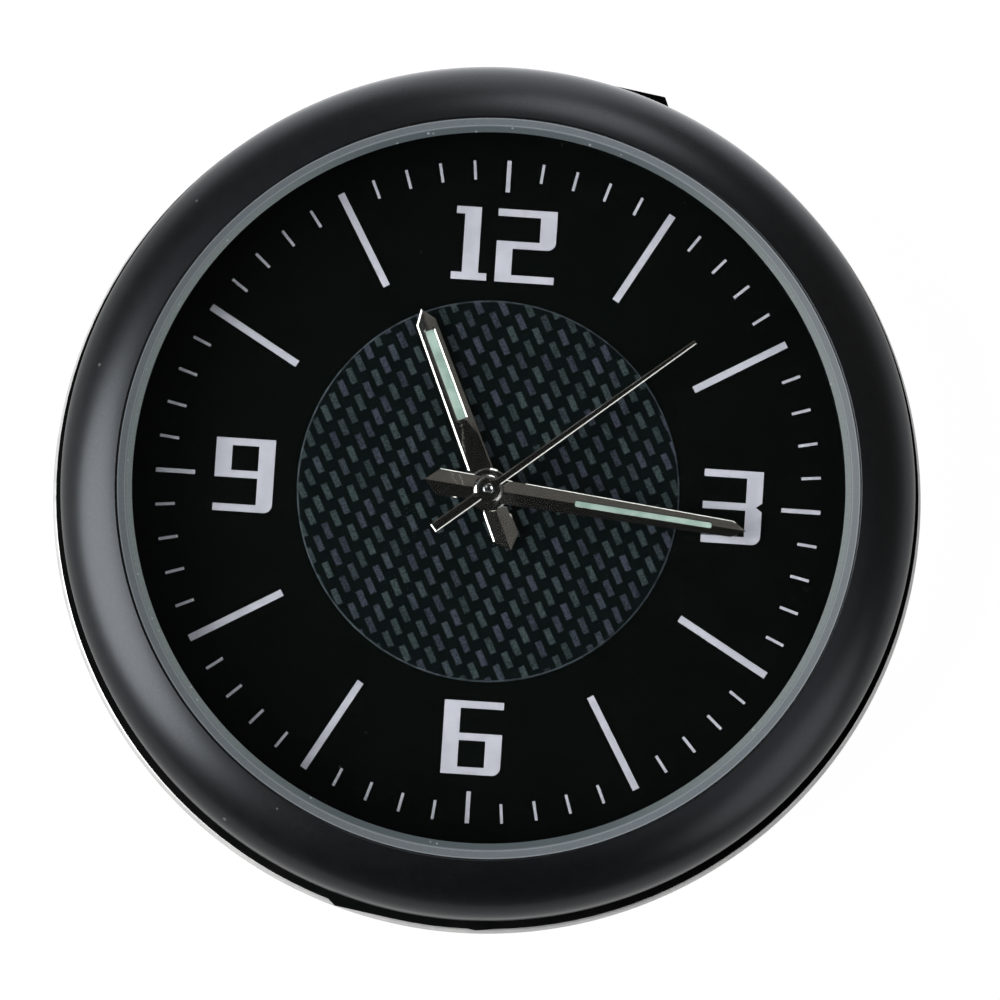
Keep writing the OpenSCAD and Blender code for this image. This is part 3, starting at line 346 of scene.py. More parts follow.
def soften(piece: Object, width: float, segments: int = 2) -> None:
    """Rounds a piece's sharp edges.

    Args:
        piece: The piece.
        width: Width of the rounding.
        segments: Number of facets across it.
    """
    select_only(piece)
    bevel = piece.modifiers.new("soft edges", "BEVEL")
    bevel.width = width
    bevel.segments = segments
    bevel.limit_method = "ANGLE"
    bevel.angle_limit = math.radians(SHARP_FROM)
    bevel.harden_normals = False
    bpy.ops.object.modifier_apply(modifier=bevel.name)


def turn(piece: Object, degrees: float) -> None:
    """Turns a piece clockwise about the clock's axis, into its mesh."""
    piece.rotation_euler.z = -math.radians(degrees)
    settle(piece)


class Graph:
    """A node tree with short calls that add and join nodes."""

    mix_first = 6
    mix_second = 7
    mix_result = 2

    def __init__(self, tree: NodeTree) -> None:
        """Keeps the tree that the calls add to."""
        self.tree = tree

    def add(self, kind: str, **settings: object) -> Node:
        """Adds a node of a kind with its settings.

        Args:
            kind: Kind of shader node.
            settings: Its settings, by name.

        Returns:
            The node.
        """
        node = self.tree.nodes.new(f"ShaderNode{kind}")
        for name, value in settings.items():
            setattr(node, name, value)
        return node

    def plug(self, socket: NodeSocket, value: object) -> None:
        """Joins a socket to another, or sets it to a number or colour.

        Args:
            socket: The input socket.
            value: An output socket, a number, a vector or a colour.
        """
        if isinstance(value, NodeSocket):
            self.tree.links.new(value, socket)
        elif socket.type == "RGBA":
            socket.default_value = (*value, 1.0)
        else:
            socket.default_value = value

    def put(self, node: Node, values: dict[str | int, object]) -> Node:
        """Joins or sets several inputs of a node.

        Args:
            node: The node.
            values: What each input takes, by its name or number.

        Returns:
            The same node.
        """
        for name, value in values.items():
            self.plug(node.inputs[name], value)
        return node

    def math(self, operation: str, *values: object) -> NodeSocket:
        """Works out one number from others."""
        node = self.add("Math", operation=operation)
        return self.put(node, dict(enumerate(values))).outputs[0]

    def vector(self, operation: str, *values: object, out: str = "Vector") -> NodeSocket:
        """Works out one vector, or one number with out="Value", from others."""
        node = self.add("VectorMath", operation=operation)
        return self.put(node, dict(enumerate(values))).outputs[out]

    def grow(self, vector: NodeSocket, factor: object) -> NodeSocket:
        """Scales a vector by one number."""
        node = self.add("VectorMath", operation="SCALE")
        return self.put(node, {"Vector": vector, "Scale": factor}).outputs["Vector"]

    def length(self, vector: NodeSocket, weights: Place = LEVEL) -> NodeSocket:
        """Gives a vector's distance from the clock's axis, or its length by other weights."""
        return self.vector("LENGTH", self.vector("MULTIPLY", vector, weights), out="Value")

    def fit(self, value: object, low: float, high: float, start: object = 0.0,
            end: object = 1.0) -> NodeSocket:
        """Eases a number from one range to another.

        Args:
            value: The number.
            low: Where the change starts.
            high: Where the change ends.
            start: Result at low.
            end: Result at high.

        Returns:
            The eased number.
        """
        node = self.add("MapRange", interpolation_type="SMOOTHSTEP")
        ends = {"From Min": low, "From Max": high, "To Min": start, "To Max": end}
        return self.put(node, {"Value": value, **ends}).outputs["Result"]

    def mix(self, share: object, first: object, second: object) -> NodeSocket:
        """Mixes two colours by a share."""
        node = self.add("Mix", data_type="RGBA")
        self.put(node, {"Factor": share, self.mix_first: first, self.mix_second: second})
        return node.outputs[self.mix_result]

    def choose(self, share: object, first: NodeSocket, second: NodeSocket) -> NodeSocket:
        """Mixes two shaders by a share."""
        return self.put(self.add("MixShader"), {"Fac": share, 1: first, 2: second}).outputs[0]

    def noise(self, place: NodeSocket, scale: object, detail: float) -> NodeSocket:
        """Gives a cloudy number that changes over a place."""
        node = self.add("TexNoise")
        return self.put(node, {"Vector": place, "Scale": scale, "Detail": detail}).outputs["Fac"]

    def parts(self, color: NodeSocket) -> bpy.types.bpy_prop_collection:
        """Splits a colour into its red, green and blue."""
        return self.put(self.add("SeparateColor"), {"Color": color}).outputs

    def group(self, tree: NodeTree, **inputs: object) -> bpy.types.bpy_prop_collection:
        """Places an effect with its own values, and gives its results."""
        return self.put(self.add("Group", node_tree=tree), inputs).outputs

    def millimetres(self) -> NodeSocket:
        """Gives the place on the piece in millimetres."""
        return self.grow(self.add("TexCoord").outputs["Object"], 1 / MM)

    def bump(self, height: NodeSocket, depth: float) -> NodeSocket:
        """Tilts the surface by a height that is depth millimetres at 1."""
        node = self.add("Bump")
        return self.put(node, {"Height": height, "Distance": depth * MM}).outputs["Normal"]


def new_material(name: str) -> tuple[Material, Graph, Node, Node]:
    """Starts a material.

    Args:
        name: Name of the finish.

    Returns:
        The material, its graph, its Principled shader and its output.
    """
    material = bpy.data.materials.new(name)
    material.use_nodes = True
    nodes = material.node_tree.nodes
    return material, Graph(material.node_tree), nodes["Principled BSDF"], nodes["Material Output"]


def new_effect(
    name: str, inputs: dict[str, str], outputs: dict[str, str]
) -> tuple[NodeTree, Graph, bpy.types.bpy_prop_collection, Node]:
    """Starts an effect that several finishes share.

    Args:
        name: Name of the effect.
        inputs: Kind of each input, by name.
        outputs: Kind of each output, by name.

    Returns:
        The effect, its graph, what it is given and its results.
    """
    tree = bpy.data.node_groups.new(name, "ShaderNodeTree")
    for way, kinds in (("INPUT", inputs), ("OUTPUT", outputs)):
        for label, kind in kinds.items():
            tree.interface.new_socket(label, in_out=way, socket_type=f"NodeSocket{kind}")
    return tree, Graph(tree), tree.nodes.new("NodeGroupInput").outputs, tree.nodes.new("NodeGroupOutput")


class Effects:
    """The shared effects, each built once."""

    fine_detail = 3.0
    slow_detail = 4.0
    slow_scale = 0.11
    speck_edge = 0.6
    least_reach = 1e-3

    def __init__(self) -> None:
        """Builds the effects."""
        self.grain = self.build_grain()
        self.rings = self.build_rings()
        self.specks = self.build_specks()
        self.row = self.build_row()

    def build_grain(self) -> NodeTree:
        """Builds fine grain with slow changes of tone under it.

        Returns:
            The effect.
        """
        tree, graph, given, result = new_effect(
            "fine grain",
            {"Place": "Vector", "Size": "Float", "Stretch": "Vector"},
            {"Height": "Float", "Tone": "Float"},
        )
        drawn = graph.vector("MULTIPLY", given["Place"], given["Stretch"])
        fine = graph.grow(drawn, graph.math("DIVIDE", 1.0, given["Size"]))
        graph.put(result, {"Height": graph.noise(fine, 1.0, self.fine_detail),
                           "Tone": graph.noise(fine, self.slow_scale, self.slow_detail)})
        return tree

    def build_rings(self) -> NodeTree:
        """Builds the marks that a lathe leaves round the clock's axis.

        Returns:
            The effect.
        """
        tree, graph, given, result = new_effect(
            "lathe marks", {"Place": "Vector", "Size": "Float"}, {"Height": "Float"}
        )
        along = graph.math("DIVIDE", graph.length(given["Place"]), given["Size"])
        node = graph.add("TexNoise", noise_dimensions="1D")
        graph.put(node, {"W": along, "Scale": 1.0, "Detail": self.slow_detail})
        graph.put(result, {"Height": node.outputs["Fac"]})
        return tree

    def build_specks(self) -> NodeTree:
        """Builds scattered specks of dust.

        Returns:
            The effect.
        """
        tree, graph, given, result = new_effect(
            "dust specks",
            {"Place": "Vector", "Spacing": "Float", "Share": "Float", "Radius": "Float"},
            {"Mask": "Float"},
        )
        cells = graph.add("TexVoronoi")
        graph.put(cells, {"Scale": graph.math("DIVIDE", 1.0, given["Spacing"]), "Vector": given["Place"]})
        chance = graph.parts(cells.outputs["Color"])
        kept = graph.math("LESS_THAN", chance["Red"], given["Share"])
        reach = graph.math("MULTIPLY", given["Radius"], chance["Green"])
        reach = graph.math("ADD", reach, self.least_reach)
        share = graph.math("DIVIDE", cells.outputs["Distance"], reach)
        near = graph.fit(share, self.speck_edge, 1.0, 1.0, 0.0)
        graph.put(result, {"Mask": graph.math("MULTIPLY", near, kept)})
        return tree

    def build_row(self) -> NodeTree:
        """Builds one row of slanted blocks of the woven print.

        Returns:
            The effect.
        """
        tree, graph, given, result = new_effect(
            "woven row",
            {"Place": "Vector", "Row": "Float", "Pitch": "Float", "Rise": "Float", "Shift": "Float",
             "Width": "Float", "Height": "Float", "Slant": "Float", "Soft": "Float"},
            {"Mask": "Float", "Chance": "Color"},
        )
        work = graph.math
        slant = given["Slant"]
        x, y, _ = graph.put(graph.add("SeparateXYZ"), {"Vector": given["Place"]}).outputs
        row = work("ADD", work("FLOOR", work("DIVIDE", y, given["Rise"])), given["Row"])
        up = work("SUBTRACT", y, work("MULTIPLY", row, given["Rise"]))
        across = work("SUBTRACT", x, work("MULTIPLY", row, given["Shift"]))
        across = work("ADD", across, work("MULTIPLY", up, slant))
        column = work("ROUND", work("DIVIDE", across, given["Pitch"]))
        across = work("SUBTRACT", across, work("MULTIPLY", column, given["Pitch"]))
        lean = work("SQRT", work("ADD", work("MULTIPLY", slant, slant), 1.0))
        across = work("DIVIDE", across, lean)
        up = work("SUBTRACT", work("MULTIPLY", up, lean), work("MULTIPLY", across, slant))
        masks = []
        for offset, size in ((across, given["Width"]), (up, given["Height"])):
            inside = work("SUBTRACT", work("MULTIPLY", size, 0.5), work("ABSOLUTE", offset))
            masks.append(graph.fit(work("DIVIDE", inside, given["Soft"]), -0.5, 0.5))
        cell = graph.put(graph.add("CombineXYZ"), {"X": column, "Y": row}).outputs[0]
        chance = graph.put(graph.add("TexWhiteNoise", noise_dimensions="2D"), {"Vector": cell})
        graph.put(result, {"Mask": work("MULTIPLY", *masks), "Chance": chance.outputs["Color"]})
        return tree


@dataclass(frozen=True)
class Finish:
    """A painted, moulded or metal surface with grain, uneven tone and dust."""

    name: str
    color: Color
    second: Color
    roughness: float
    swing: float = 0.05
    metallic: float = 0.0
    grain: Grain = Grain.EVEN
    grain_mm: float = 0.1
    depth_mm: float = 0.001
    dust_share: float = 0.0
    dust_color: Color = (0.2, 0.2, 0.2)
    dust_mm: float = 0.8
    dust_reach: float = 0.16
    specular: float = 0.5
    gloss: Color = WHITE

    def material(self, effects: Effects) -> Material:
        """Builds the finish from the shared effects.

        Args:
            effects: The shared effects.

        Returns:
            The material.
        """
        material, graph, shader, _ = new_material(self.name)
        place = graph.millimetres()
        ringed = self.grain is Grain.RINGS
        stretch = Grain.EVEN.value if ringed else self.grain.value
        fine = graph.group(effects.grain, Place=place, Size=self.grain_mm, Stretch=stretch)
        height = fine["Height"]
        if ringed:
            height = graph.group(effects.rings, Place=place, Size=self.grain_mm)["Height"]
        color = graph.mix(graph.fit(fine["Tone"], *TONE_SPAN), self.color, self.second)
        rough = graph.fit(height, *GLOSS_SPAN, self.roughness - self.swing, self.roughness + self.swing)
        if self.dust_share:
            dust = graph.group(effects.specks, Place=place, Spacing=self.dust_mm, Share=self.dust_share,
                               Radius=self.dust_reach)
            color = graph.mix(dust["Mask"], color, self.dust_color)
        graph.put(shader, {"Base Color": color, "Roughness": rough, "Metallic": self.metallic,
                           "Normal": graph.bump(height, self.depth_mm),
                           "Specular IOR Level": self.specular, "Specular Tint": self.gloss})
        return material


@dataclass(frozen=True)
class ClearGlass:
    """Clear glass that lets lamp light through."""

    name: str = "clear glass"
    color: Color = (0.97, 0.985, 0.98)
    ior: float = 1.5
    smear_scale: float = 0.4
    smear_detail: float = 3.0
    smear_span: Point = (0.45, 0.8)
    smear_rough: float = 0.03

    def material(self) -> Material:
        """Builds the glass, with faint smears that change its gloss.

        Returns:
            The material.
        """
        material, graph, shader, output = new_material(self.name)
        smear = graph.noise(graph.millimetres(), self.smear_scale, self.smear_detail)
        rough = graph.fit(smear, *self.smear_span, 0.0, self.smear_rough)
        graph.put(shader, {"Base Color": self.color, "Roughness": rough, "Transmission Weight": 1.0,
                           "IOR": self.ior})
        shadow = graph.add("LightPath").outputs["Is Shadow Ray"]
        clear = graph.add("BsdfTransparent").outputs["BSDF"]
        graph.put(output, {"Surface": graph.choose(shadow, shader.outputs["BSDF"], clear)})
        return material


@dataclass(frozen=True)
class GroundGlass:
    """The ground bevel, which scatters the light that comes through the glass, in two bands."""

    name: str = "ground glass"
    outer: Color = srgb(121, 129, 135)
    inner: Color = srgb(138, 148, 148)
    # painted shade: the inner band is painted darker at the top and bottom and lighter at the left and
    # right sides, where the light through the glass falls
    painted_shade: Color = srgb(88, 99, 104)
    shade_span: Point = (0.3, 0.85)
    # painted highlight: light lines are painted at the glass's outer edge and at the join of the two bands
    line: Color = srgb(158, 166, 172)
    line_w: float = 0.07
    highlight_span: Point = (0.2, 0.5)
    highlight_share: float = 0.7
    chip: Color = srgb(205, 214, 222)
    chip_mm: float = 0.28
    chip_share: float = 0.35
    chip_reach: float = 0.3
    chip_mix: float = 0.5
    pit: Color = (0.07, 0.085, 0.09)
    pit_mix: float = 0.2
    grain_mm: float = 0.12
    rough: Point = (0.4, 0.6)
    join_in: float = 0.42
    ease: float = 0.03
    lean: float = -0.9

    def material(self, effects: Effects, reach: float) -> Material:
        """Builds the finish.

        Args:
            effects: The shared effects.
            reach: Radius of the glass.

        Returns:
            The material.
        """
        material, graph, shader, _ = new_material(self.name)
        place = graph.millimetres()
        radius = graph.length(place)
        aside = graph.math("DIVIDE", graph.length(place, (1.0, 0.0, 0.0)), radius)
        join = reach - self.join_in
        outside = graph.fit(radius, join - self.ease, join + self.ease)
        grain = graph.group(effects.grain, Place=place, Size=self.grain_mm, Stretch=Grain.EVEN.value)
        chips = graph.group(effects.specks, Place=place, Spacing=self.chip_mm, Share=self.chip_share,
                            Radius=self.chip_reach)
        # Painted light and shade: the inner band runs from the painted-shade colour at the top and bottom
        # to the lighter inner colour at the sides.
        inner = graph.mix(graph.fit(aside, *self.shade_span), self.painted_shade, self.inner)
        color = graph.mix(outside, inner, self.outer)
        pitted = graph.fit(grain["Height"], *GRAIN_SPAN, self.pit_mix, 0.0)
        color = graph.mix(pitted, color, self.pit)
        chipped = graph.math("MULTIPLY", chips["Mask"], graph.fit(outside, 0.0, 1.0, self.chip_mix, 0.0))
        color = graph.mix(chipped, color, self.chip)
        # Painted highlights: a light line at the join of the bands and one at the glass's outer edge.
        thin, wide = (share * self.line_w for share in self.highlight_span)
        for edge in (join + 2 * self.ease, reach - self.line_w / 2):
            off = graph.math("ABSOLUTE", graph.math("SUBTRACT", radius, edge))
            color = graph.mix(graph.fit(off, thin, wide, self.highlight_share, 0.0), color, self.line)
        facing = graph.add("NewGeometry").outputs["Normal"]
        level = graph.vector("MULTIPLY", facing, (self.lean, self.lean, 1.0))
        graph.put(shader, {"Base Color": color,
                           "Roughness": graph.fit(grain["Height"], *GRAIN_SPAN, *self.rough),
                           "Normal": graph.vector("NORMALIZE", level)})
        return material


@dataclass(frozen=True)
class WovenPrint:
    """A printed weave of slanted blocks with a thin line round it."""

    name: str = "woven print"
    ground: Color = (0.0014, 0.0032, 0.0035)
    block: Color = srgb(57, 68, 69)
    cool: Color = srgb(59, 63, 75)
    cool_span: Point = (0.3, 0.9)
    strength: Point = (0.6, 1.0)
    grit: Point = (0.4, 1.3)
    edge: Color = srgb(66, 74, 80)
    line_w: float = 0.09
    line_soft: float = 0.7
    line_worn: float = 0.35
    pitch: float = 1.188
    rise: float = 0.607
    shift: float = 0.351
    width: float = 0.29
    height: float = 0.76
    slant: float = 0.52
    soft: float = 0.07
    start: Place = (0.006, 0.095, 0.0)
    grain_mm: float = 0.075
    relief_mm: float = 0.01
    rough: Point = (0.34, 0.46)
    specular: float = 0.05

    def material(self, effects: Effects, reach: float) -> Material:
        """Builds the print.

        Args:
            effects: The shared effects.
            reach: Radius of the printed disc.

        Returns:
            The material.
        """
        material, graph, shader, _ = new_material(self.name)
        place = graph.millimetres()
        grain = graph.group(effects.grain, Place=place, Size=self.grain_mm, Stretch=Grain.EVEN.value)
        centred = graph.vector("SUBTRACT", place, self.start)
        grit = graph.fit(grain["Height"], *TONE_SPAN, *self.grit)
        color = self.ground
        relief = 0.0
        for row in (0.0, 1.0):
            line = graph.group(effects.row, Place=centred, Row=row, Pitch=self.pitch, Rise=self.rise,
                               Shift=self.shift, Width=self.width, Height=self.height, Slant=self.slant,
                               Soft=self.soft)
            chance = graph.parts(line["Chance"])
            tint = graph.mix(graph.fit(chance["Red"], *self.cool_span), self.block, self.cool)
            share = graph.math("MULTIPLY", graph.fit(chance["Green"], 0.0, 1.0, *self.strength), grit)
            color = graph.mix(graph.math("MULTIPLY", line["Mask"], share), color, tint)
            relief = graph.math("MAXIMUM", relief, line["Mask"])
        rim = graph.fit(graph.length(place), reach - self.line_w, reach - self.line_soft * self.line_w)
        worn = graph.fit(grain["Tone"], *TONE_SPAN, self.line_worn, 1.0)
        color = graph.mix(graph.math("MULTIPLY", rim, worn), color, self.edge)
        graph.put(shader, {"Base Color": color, "Normal": graph.bump(relief, self.relief_mm),
                           "Roughness": graph.fit(grain["Height"], *GRAIN_SPAN, *self.rough),
                           "Specular IOR Level": self.specular})
        return material


@dataclass(frozen=True)
class FoamFinish:
    """Open foam with small cells."""

    name: str = "white foam"
    color: Color = srgb(225, 224, 218)
    second: Color = srgb(196, 194, 186)
    cell_mm: float = 0.22
    cell_span: Point = (0.1, 0.6)
    rough: Point = (0.8, 0.95)
    depth_mm: float = 0.05

    def material(self) -> Material:
        """Builds the foam with its cells.

        Returns:
            The material.
        """
        material, graph, shader, _ = new_material(self.name)
        cells = graph.add("TexVoronoi")
        graph.put(cells, {"Vector": graph.millimetres(), "Scale": 1 / self.cell_mm})
        hollow = graph.fit(cells.outputs["Distance"], *self.cell_span)
        graph.put(shader, {"Base Color": graph.mix(hollow, self.second, self.color),
                           "Roughness": graph.fit(hollow, 0.0, 1.0, *self.rough),
                           "Normal": graph.bump(hollow, self.depth_mm)})
        return material


FINISHES = {
    "bezel_black": Finish("satin black paint", (0.0040, 0.0042, 0.0047), (0.0055, 0.0057, 0.0063), 0.3,
                          0.03, grain_mm=0.07, depth_mm=0.0006, dust_share=0.05,
                          dust_color=(0.1, 0.1, 0.1), gloss=(0.9, 0.97, 1.05)),
    "seal_rubber": Finish("black rubber", (0.012, 0.012, 0.012), (0.02, 0.02, 0.02), 0.7, grain_mm=0.12,
                          depth_mm=0.004),
    "case_black": Finish("moulded black resin", (0.005, 0.0055, 0.0055), (0.008, 0.008, 0.008), 0.6,
                         grain_mm=0.14, depth_mm=0.003, specular=0.0),
    "back_steel": Finish("satin plated steel", srgb(236, 235, 234), srgb(222, 222, 222), 0.34, 0.08, 0.5,
                         Grain.RINGS, 0.12, 0.002),
    "liner_film": Finish("amber liner film", srgb(214, 190, 120), srgb(204, 176, 104), 0.35, grain_mm=0.5,
                         depth_mm=0.004),
    "dial_black": Finish("dial lacquer", (0.0004, 0.0014, 0.001), (0.0008, 0.0018, 0.0014), 0.34,
                         grain_mm=0.2, depth_mm=0.0006, dust_share=0.06, dust_color=(0.02, 0.026, 0.026),
                         dust_mm=0.55, specular=0.06),
    "print_white": Finish("white ink", srgb(186, 187, 197), srgb(175, 176, 186), 0.6, grain_mm=0.12,
                          depth_mm=0.002, dust_share=0.04, dust_color=srgb(120, 120, 130)),
    "hand_metal": Finish("polished metal", srgb(222, 220, 216), srgb(212, 210, 206), 0.06, 0.02, 1.0,
                         depth_mm=0.0002),
    "lume": Finish("luminous paint", srgb(160, 181, 171), srgb(132, 156, 146), 0.65, grain_mm=0.09,
                   depth_mm=0.006),
    "bright_steel": Finish("bright steel", srgb(205, 206, 208), srgb(192, 194, 198), 0.1, 0.03, 1.0,
                           grain_mm=0.15),
    "brass": Finish("brass", srgb(222, 186, 110), srgb(206, 166, 90), 0.26, 0.06, 1.0),
    "plate_resin": Finish("dark movement resin", srgb(62, 64, 68), srgb(52, 54, 58), 0.5, grain_mm=0.15,
                          depth_mm=0.004),
    "ring_resin": Finish("white spacer resin", srgb(222, 222, 216), srgb(208, 208, 200), 0.45, grain_mm=0.2,
                         depth_mm=0.004),
    "bridge_nickel": Finish("brushed nickel", srgb(206, 200, 188), srgb(190, 184, 172), 0.3, 0.08, 1.0,
                            Grain.ALONG_X, 0.05, 0.002),
    "magnet": Finish("sintered magnet", srgb(70, 70, 74), srgb(58, 58, 62), 0.45, 0.08, 0.8, grain_mm=0.08,
                     depth_mm=0.003),
    "copper": Finish("enamelled copper", srgb(196, 112, 64), srgb(176, 92, 48), 0.28, 0.06, 1.0),
    "board_green": Finish("green board", srgb(28, 92, 60), srgb(20, 78, 50), 0.4, grain_mm=0.2,
                          depth_mm=0.002, dust_share=0.03),
    "chip_black": Finish("black resin drop", srgb(24, 24, 26), srgb(34, 34, 36), 0.55, grain_mm=0.06,
                         depth_mm=0.003),
}


class Shop:
    """The frame and the materials that every sub-assembly draws on."""

    def __init__(self, frame: dict) -> None:
        """Builds the materials.
        """
        self.nodes = frame["nodes"]
        self.slots = {row["node"]: row["material_slot"] for row in frame["record"]["subparts"]}
        effects = Effects()
        self.materials = {slot: finish.material(effects) for slot, finish in FINISHES.items()}
        self.materials["foam"] = FoamFinish().material()
        self.materials["glass"] = ClearGlass().material()
        self.materials["weave"] = WovenPrint().material(effects, self.box("weave_disc")[1].x)
        self.ground_glass = GroundGlass().material(effects, self.box("crystal")[1].x)

    def box(self, node: str) -> tuple[Vector, Vector]:
        """Gives a node's lowest and highest corners in millimetres."""
        low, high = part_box(node)
        return Vector(low) / MM, Vector(high) / MM

    def copy(self, node: str) -> Object:
        """Copies a node's solid, merged and in millimetres.

        Args:
            node: Name of the node.

        Returns:
            The copy, as a closed mesh with flat faces whole.
        """
        piece = bpy.data.objects.new(f"{node}_copy", self.nodes[node].data.copy())
        bpy.context.scene.collection.objects.link(piece)
        select_only(piece)
        bpy.ops.mesh.customdata_custom_splitnormals_clear()
        piece.scale = Vector((1, 1, 1)) / MM
        settle(piece)
        with editing(piece):
            bpy.ops.mesh.remove_doubles(threshold=MERGE)
            bpy.ops.mesh.dissolve_limited(angle_limit=math.radians(FLAT_WITHIN))
        return piece

    def finish(self, piece: Object, node: str, name: str, smooth: float = 30.0,
               dressed: bool = False) -> Object:
        """Brings a piece to its size in metres, dresses it and puts it in its node's stead.

        Args:
            piece: The piece, in millimetres.
            node: The node that it stands for.
            name: Name of the finished piece.
            smooth: Largest angle that is shaded smooth, in degrees.
            dressed: Whether the piece has its materials already.

        Returns:
            The finished piece.
        """
        piece.name = name
        piece.data.name = name
        piece.scale = Vector((MM, MM, MM))
        settle(piece)
        bpy.ops.object.shade_smooth_by_angle(angle=math.radians(smooth))
        flats = piece.modifiers.new("flat faces", "WEIGHTED_NORMAL")
        flats.keep_sharp = True
        bpy.ops.object.modifier_apply(modifier=flats.name)
        slot = self.slots[node]
        if not dressed:
            piece.data.materials.clear()
            piece.data.materials.append(self.materials[slot])
        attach(piece, body_of(self.nodes[node])[0])
        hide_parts(node)
        log.info("%s stands for %s", name, node)
        return piece

    def dress(self, *names: str) -> None:
        """Gives nodes that stay their finish.

        Args:
            names: The nodes.
        """
        for name in names:
            mesh = self.nodes[name].data
            mesh.materials.clear()
            mesh.materials.append(self.materials[self.slots[name]])
            log.info("%s keeps its solid", name)

    def round_off(self, width: float, *names: str) -> None:
        """Puts copies with rounded edges in the stead of nodes.

        Args:
            width: Width of the rounding.
            names: The nodes.
        """
        for name in names:
            piece = self.copy(name)
            soften(piece, width)
            self.finish(piece, name, f"{name}_piece")


@dataclass
class Bezel:
    """The convex black ring and the glass with its seal."""

    shop: Shop
    lip_r: float = 17.25
    land: float = 0.06
    side_in: float = 0.11
    lip_lean: float = 15.0
    join_at: float = 45.0
    roll_r: float = 2.1
    arc_steps: int = 16
    inner: tuple[Point, ...] = ((18.55, 3.2), (18.55, 7.0), (17.95, 7.0), (17.95, 7.9), (17.46, 7.9),
                                (17.46, 8.3), (17.25, 8.3), (17.25, 8.7))
    round_w: float = 0.04
    edge_h: float = 0.8
    bevel_w: float = 0.7

    def build(self) -> None:
        """Makes the ring and the glass."""
        self.build_ring()
        self.build_glass()
        self.shop.dress("crystal_gasket")

    def build_ring(self) -> None:
        """Turns the ring from its crown, its roll and its upright side."""
        low, high = self.shop.box("bezel_ring")
        lean, join = math.radians(self.lip_lean), math.radians(self.join_at)
        side_r = high.x - self.side_in
        join_r = side_r - self.roll_r * (1 - math.sin(join))
        start_r = self.lip_r + self.land
        crown_r = (join_r - start_r) / (math.sin(join) - math.sin(lean))
        crown = (start_r - crown_r * math.sin(lean), high.z - crown_r * math.cos(lean))
        join_z = crown[1] + crown_r * math.cos(join)
        roll = (side_r - self.roll_r, join_z - self.roll_r * math.cos(join))
        outside = arc(crown, crown_r, self.lip_lean, self.join_at, self.arc_steps)
        outside += arc(roll, self.roll_r, self.join_at, QUARTER, self.arc_steps)[1:]
        ring = turned("bezel", [*outside, (side_r, low.z), *self.inner], RIM_STEPS)
        soften(ring, self.round_w)
        self.shop.finish(ring, "bezel_ring", "bezel", smooth=CRISP)

    def build_glass(self) -> None:
        """Turns the glass and gives its bevel a ground finish."""
        low, high = self.shop.box("crystal")
        edge_z = low.z + self.edge_h
        profile = [(0.0, low.z), (high.x, low.z), (high.x, edge_z), (high.x - self.bevel_w, high.z),
                   (0.0, high.z)]
        glass = turned("glass", profile, RIM_STEPS)
        glass.data.materials.append(self.shop.materials["glass"])
        glass.data.materials.append(self.shop.ground_glass)
        for face in glass.data.polygons:
            face.material_index = int(edge_z < face.center.z < high.z - MERGE)
        self.shop.finish(glass, "crystal", "glass", smooth=15.0, dressed=True)


@dataclass
class Case:
    """The black case, the steel back, its seal, and the foam that sticks it down."""

    shop: Shop
    round_w: float = 0.05
    lug_h: float = 0.1
    lug_more: float = 0.14
    lug_less: float = 0.08
    wall_in: float = 17.7
    wall_out: float = 18.3
    floor_t: float = 0.6
    notch_w: float = 3.0
    notch_in: float = 0.7
    notch_at: float = 74.0
    notch_round: float = 0.25
    edge_w: float = 0.16
    edge_h: float = 0.22
    back_round: float = 0.08
    back_facets: int = 3
    liner_round: float = 0.015
    foam_pull: float = 0.12
    foam_steps: int = 10
    foam_power: int = 4

    def build(self) -> None:
        """Makes the case, the back and the foam."""
        self.build_case()
        self.shop.round_off(self.liner_round, "release_liner")
        self.shop.dress("back_gasket")
        self.build_back()
        self.build_foam()

    def build_case(self) -> None:
        """Rounds the case and brings the lugs of its flange to where they show beyond the bezel."""
        case = self.shop.copy("case_body")
        flange_r = self.shop.box("case_body")[1].x
        for point in case.data.vertices:
            flat = point.co.xy
            if flat.length < flange_r + self.lug_h:
                continue
            more = self.lug_more if flat.y > 0 else -self.lug_less
            point.co.xy = flat * (1 + more / flat.length)
        soften(case, self.round_w)
        self.shop.finish(case, "case_body", "case_body_piece")

    def build_back(self) -> None:
        """Turns the steel back and cuts its prying notch."""
        low, high = self.shop.box("back_cover")
        rim = max(high.x, high.y)
        top = low.z + self.floor_t
        profile = [(0.0, low.z), (rim, low.z), (rim, top - self.edge_h), (rim - self.edge_w, top),
                   (self.wall_out, top), (self.wall_out, high.z),
                   (self.wall_in, high.z), (self.wall_in, top), (0.0, top)]
        back = turned("back", profile, RIM_STEPS)
        tool = block("notch", (rim - self.notch_in, -self.notch_w / 2, low.z - PAST),
                     (rim + PAST, self.notch_w / 2, top + PAST), self.notch_round)
        turn(tool, -self.notch_at)
        cut(back, tool, Cut.TAKE)
        soften(back, self.back_round, self.back_facets)
        self.shop.finish(back, "back_cover", "steel_back")

    def build_foam(self) -> None:
        """Turns the foam pad with sides that bulge between its two skins."""
        low, high = self.shop.box("adhesive_pad")
        side = []
        for step in range(self.foam_steps + 1):
            share = step / self.foam_steps
            pull = self.foam_pull * (2 * share - 1) ** self.foam_power
            side.append((high.x - pull, low.z + (high.z - low.z) * share))
        foam = turned("foam", [(0.0, low.z), *side, (0.0, high.z)])
        foam = self.shop.finish(foam, "adhesive_pad", "foam_pad")


@dataclass
class Dial:
    """The black dial, its woven disc and its print."""

    shop: Shop
    hole_r: float = 0.95
    edge_in: float = 0.05
    edge_down: float = 0.04

    def build(self) -> None:
        """Makes the woven disc and dresses the rest."""
        low, high = self.shop.box("weave_disc")
        profile = [(self.hole_r, low.z), (high.x, low.z), (high.x, high.z - self.edge_down),
                   (high.x - self.edge_in, high.z), (self.hole_r, high.z)]
        self.shop.finish(turned("weave", profile), "weave_disc", "woven_disc")
        self.shop.dress("dial_plate", "dial_numerals", "hour_batons", "minute_track")


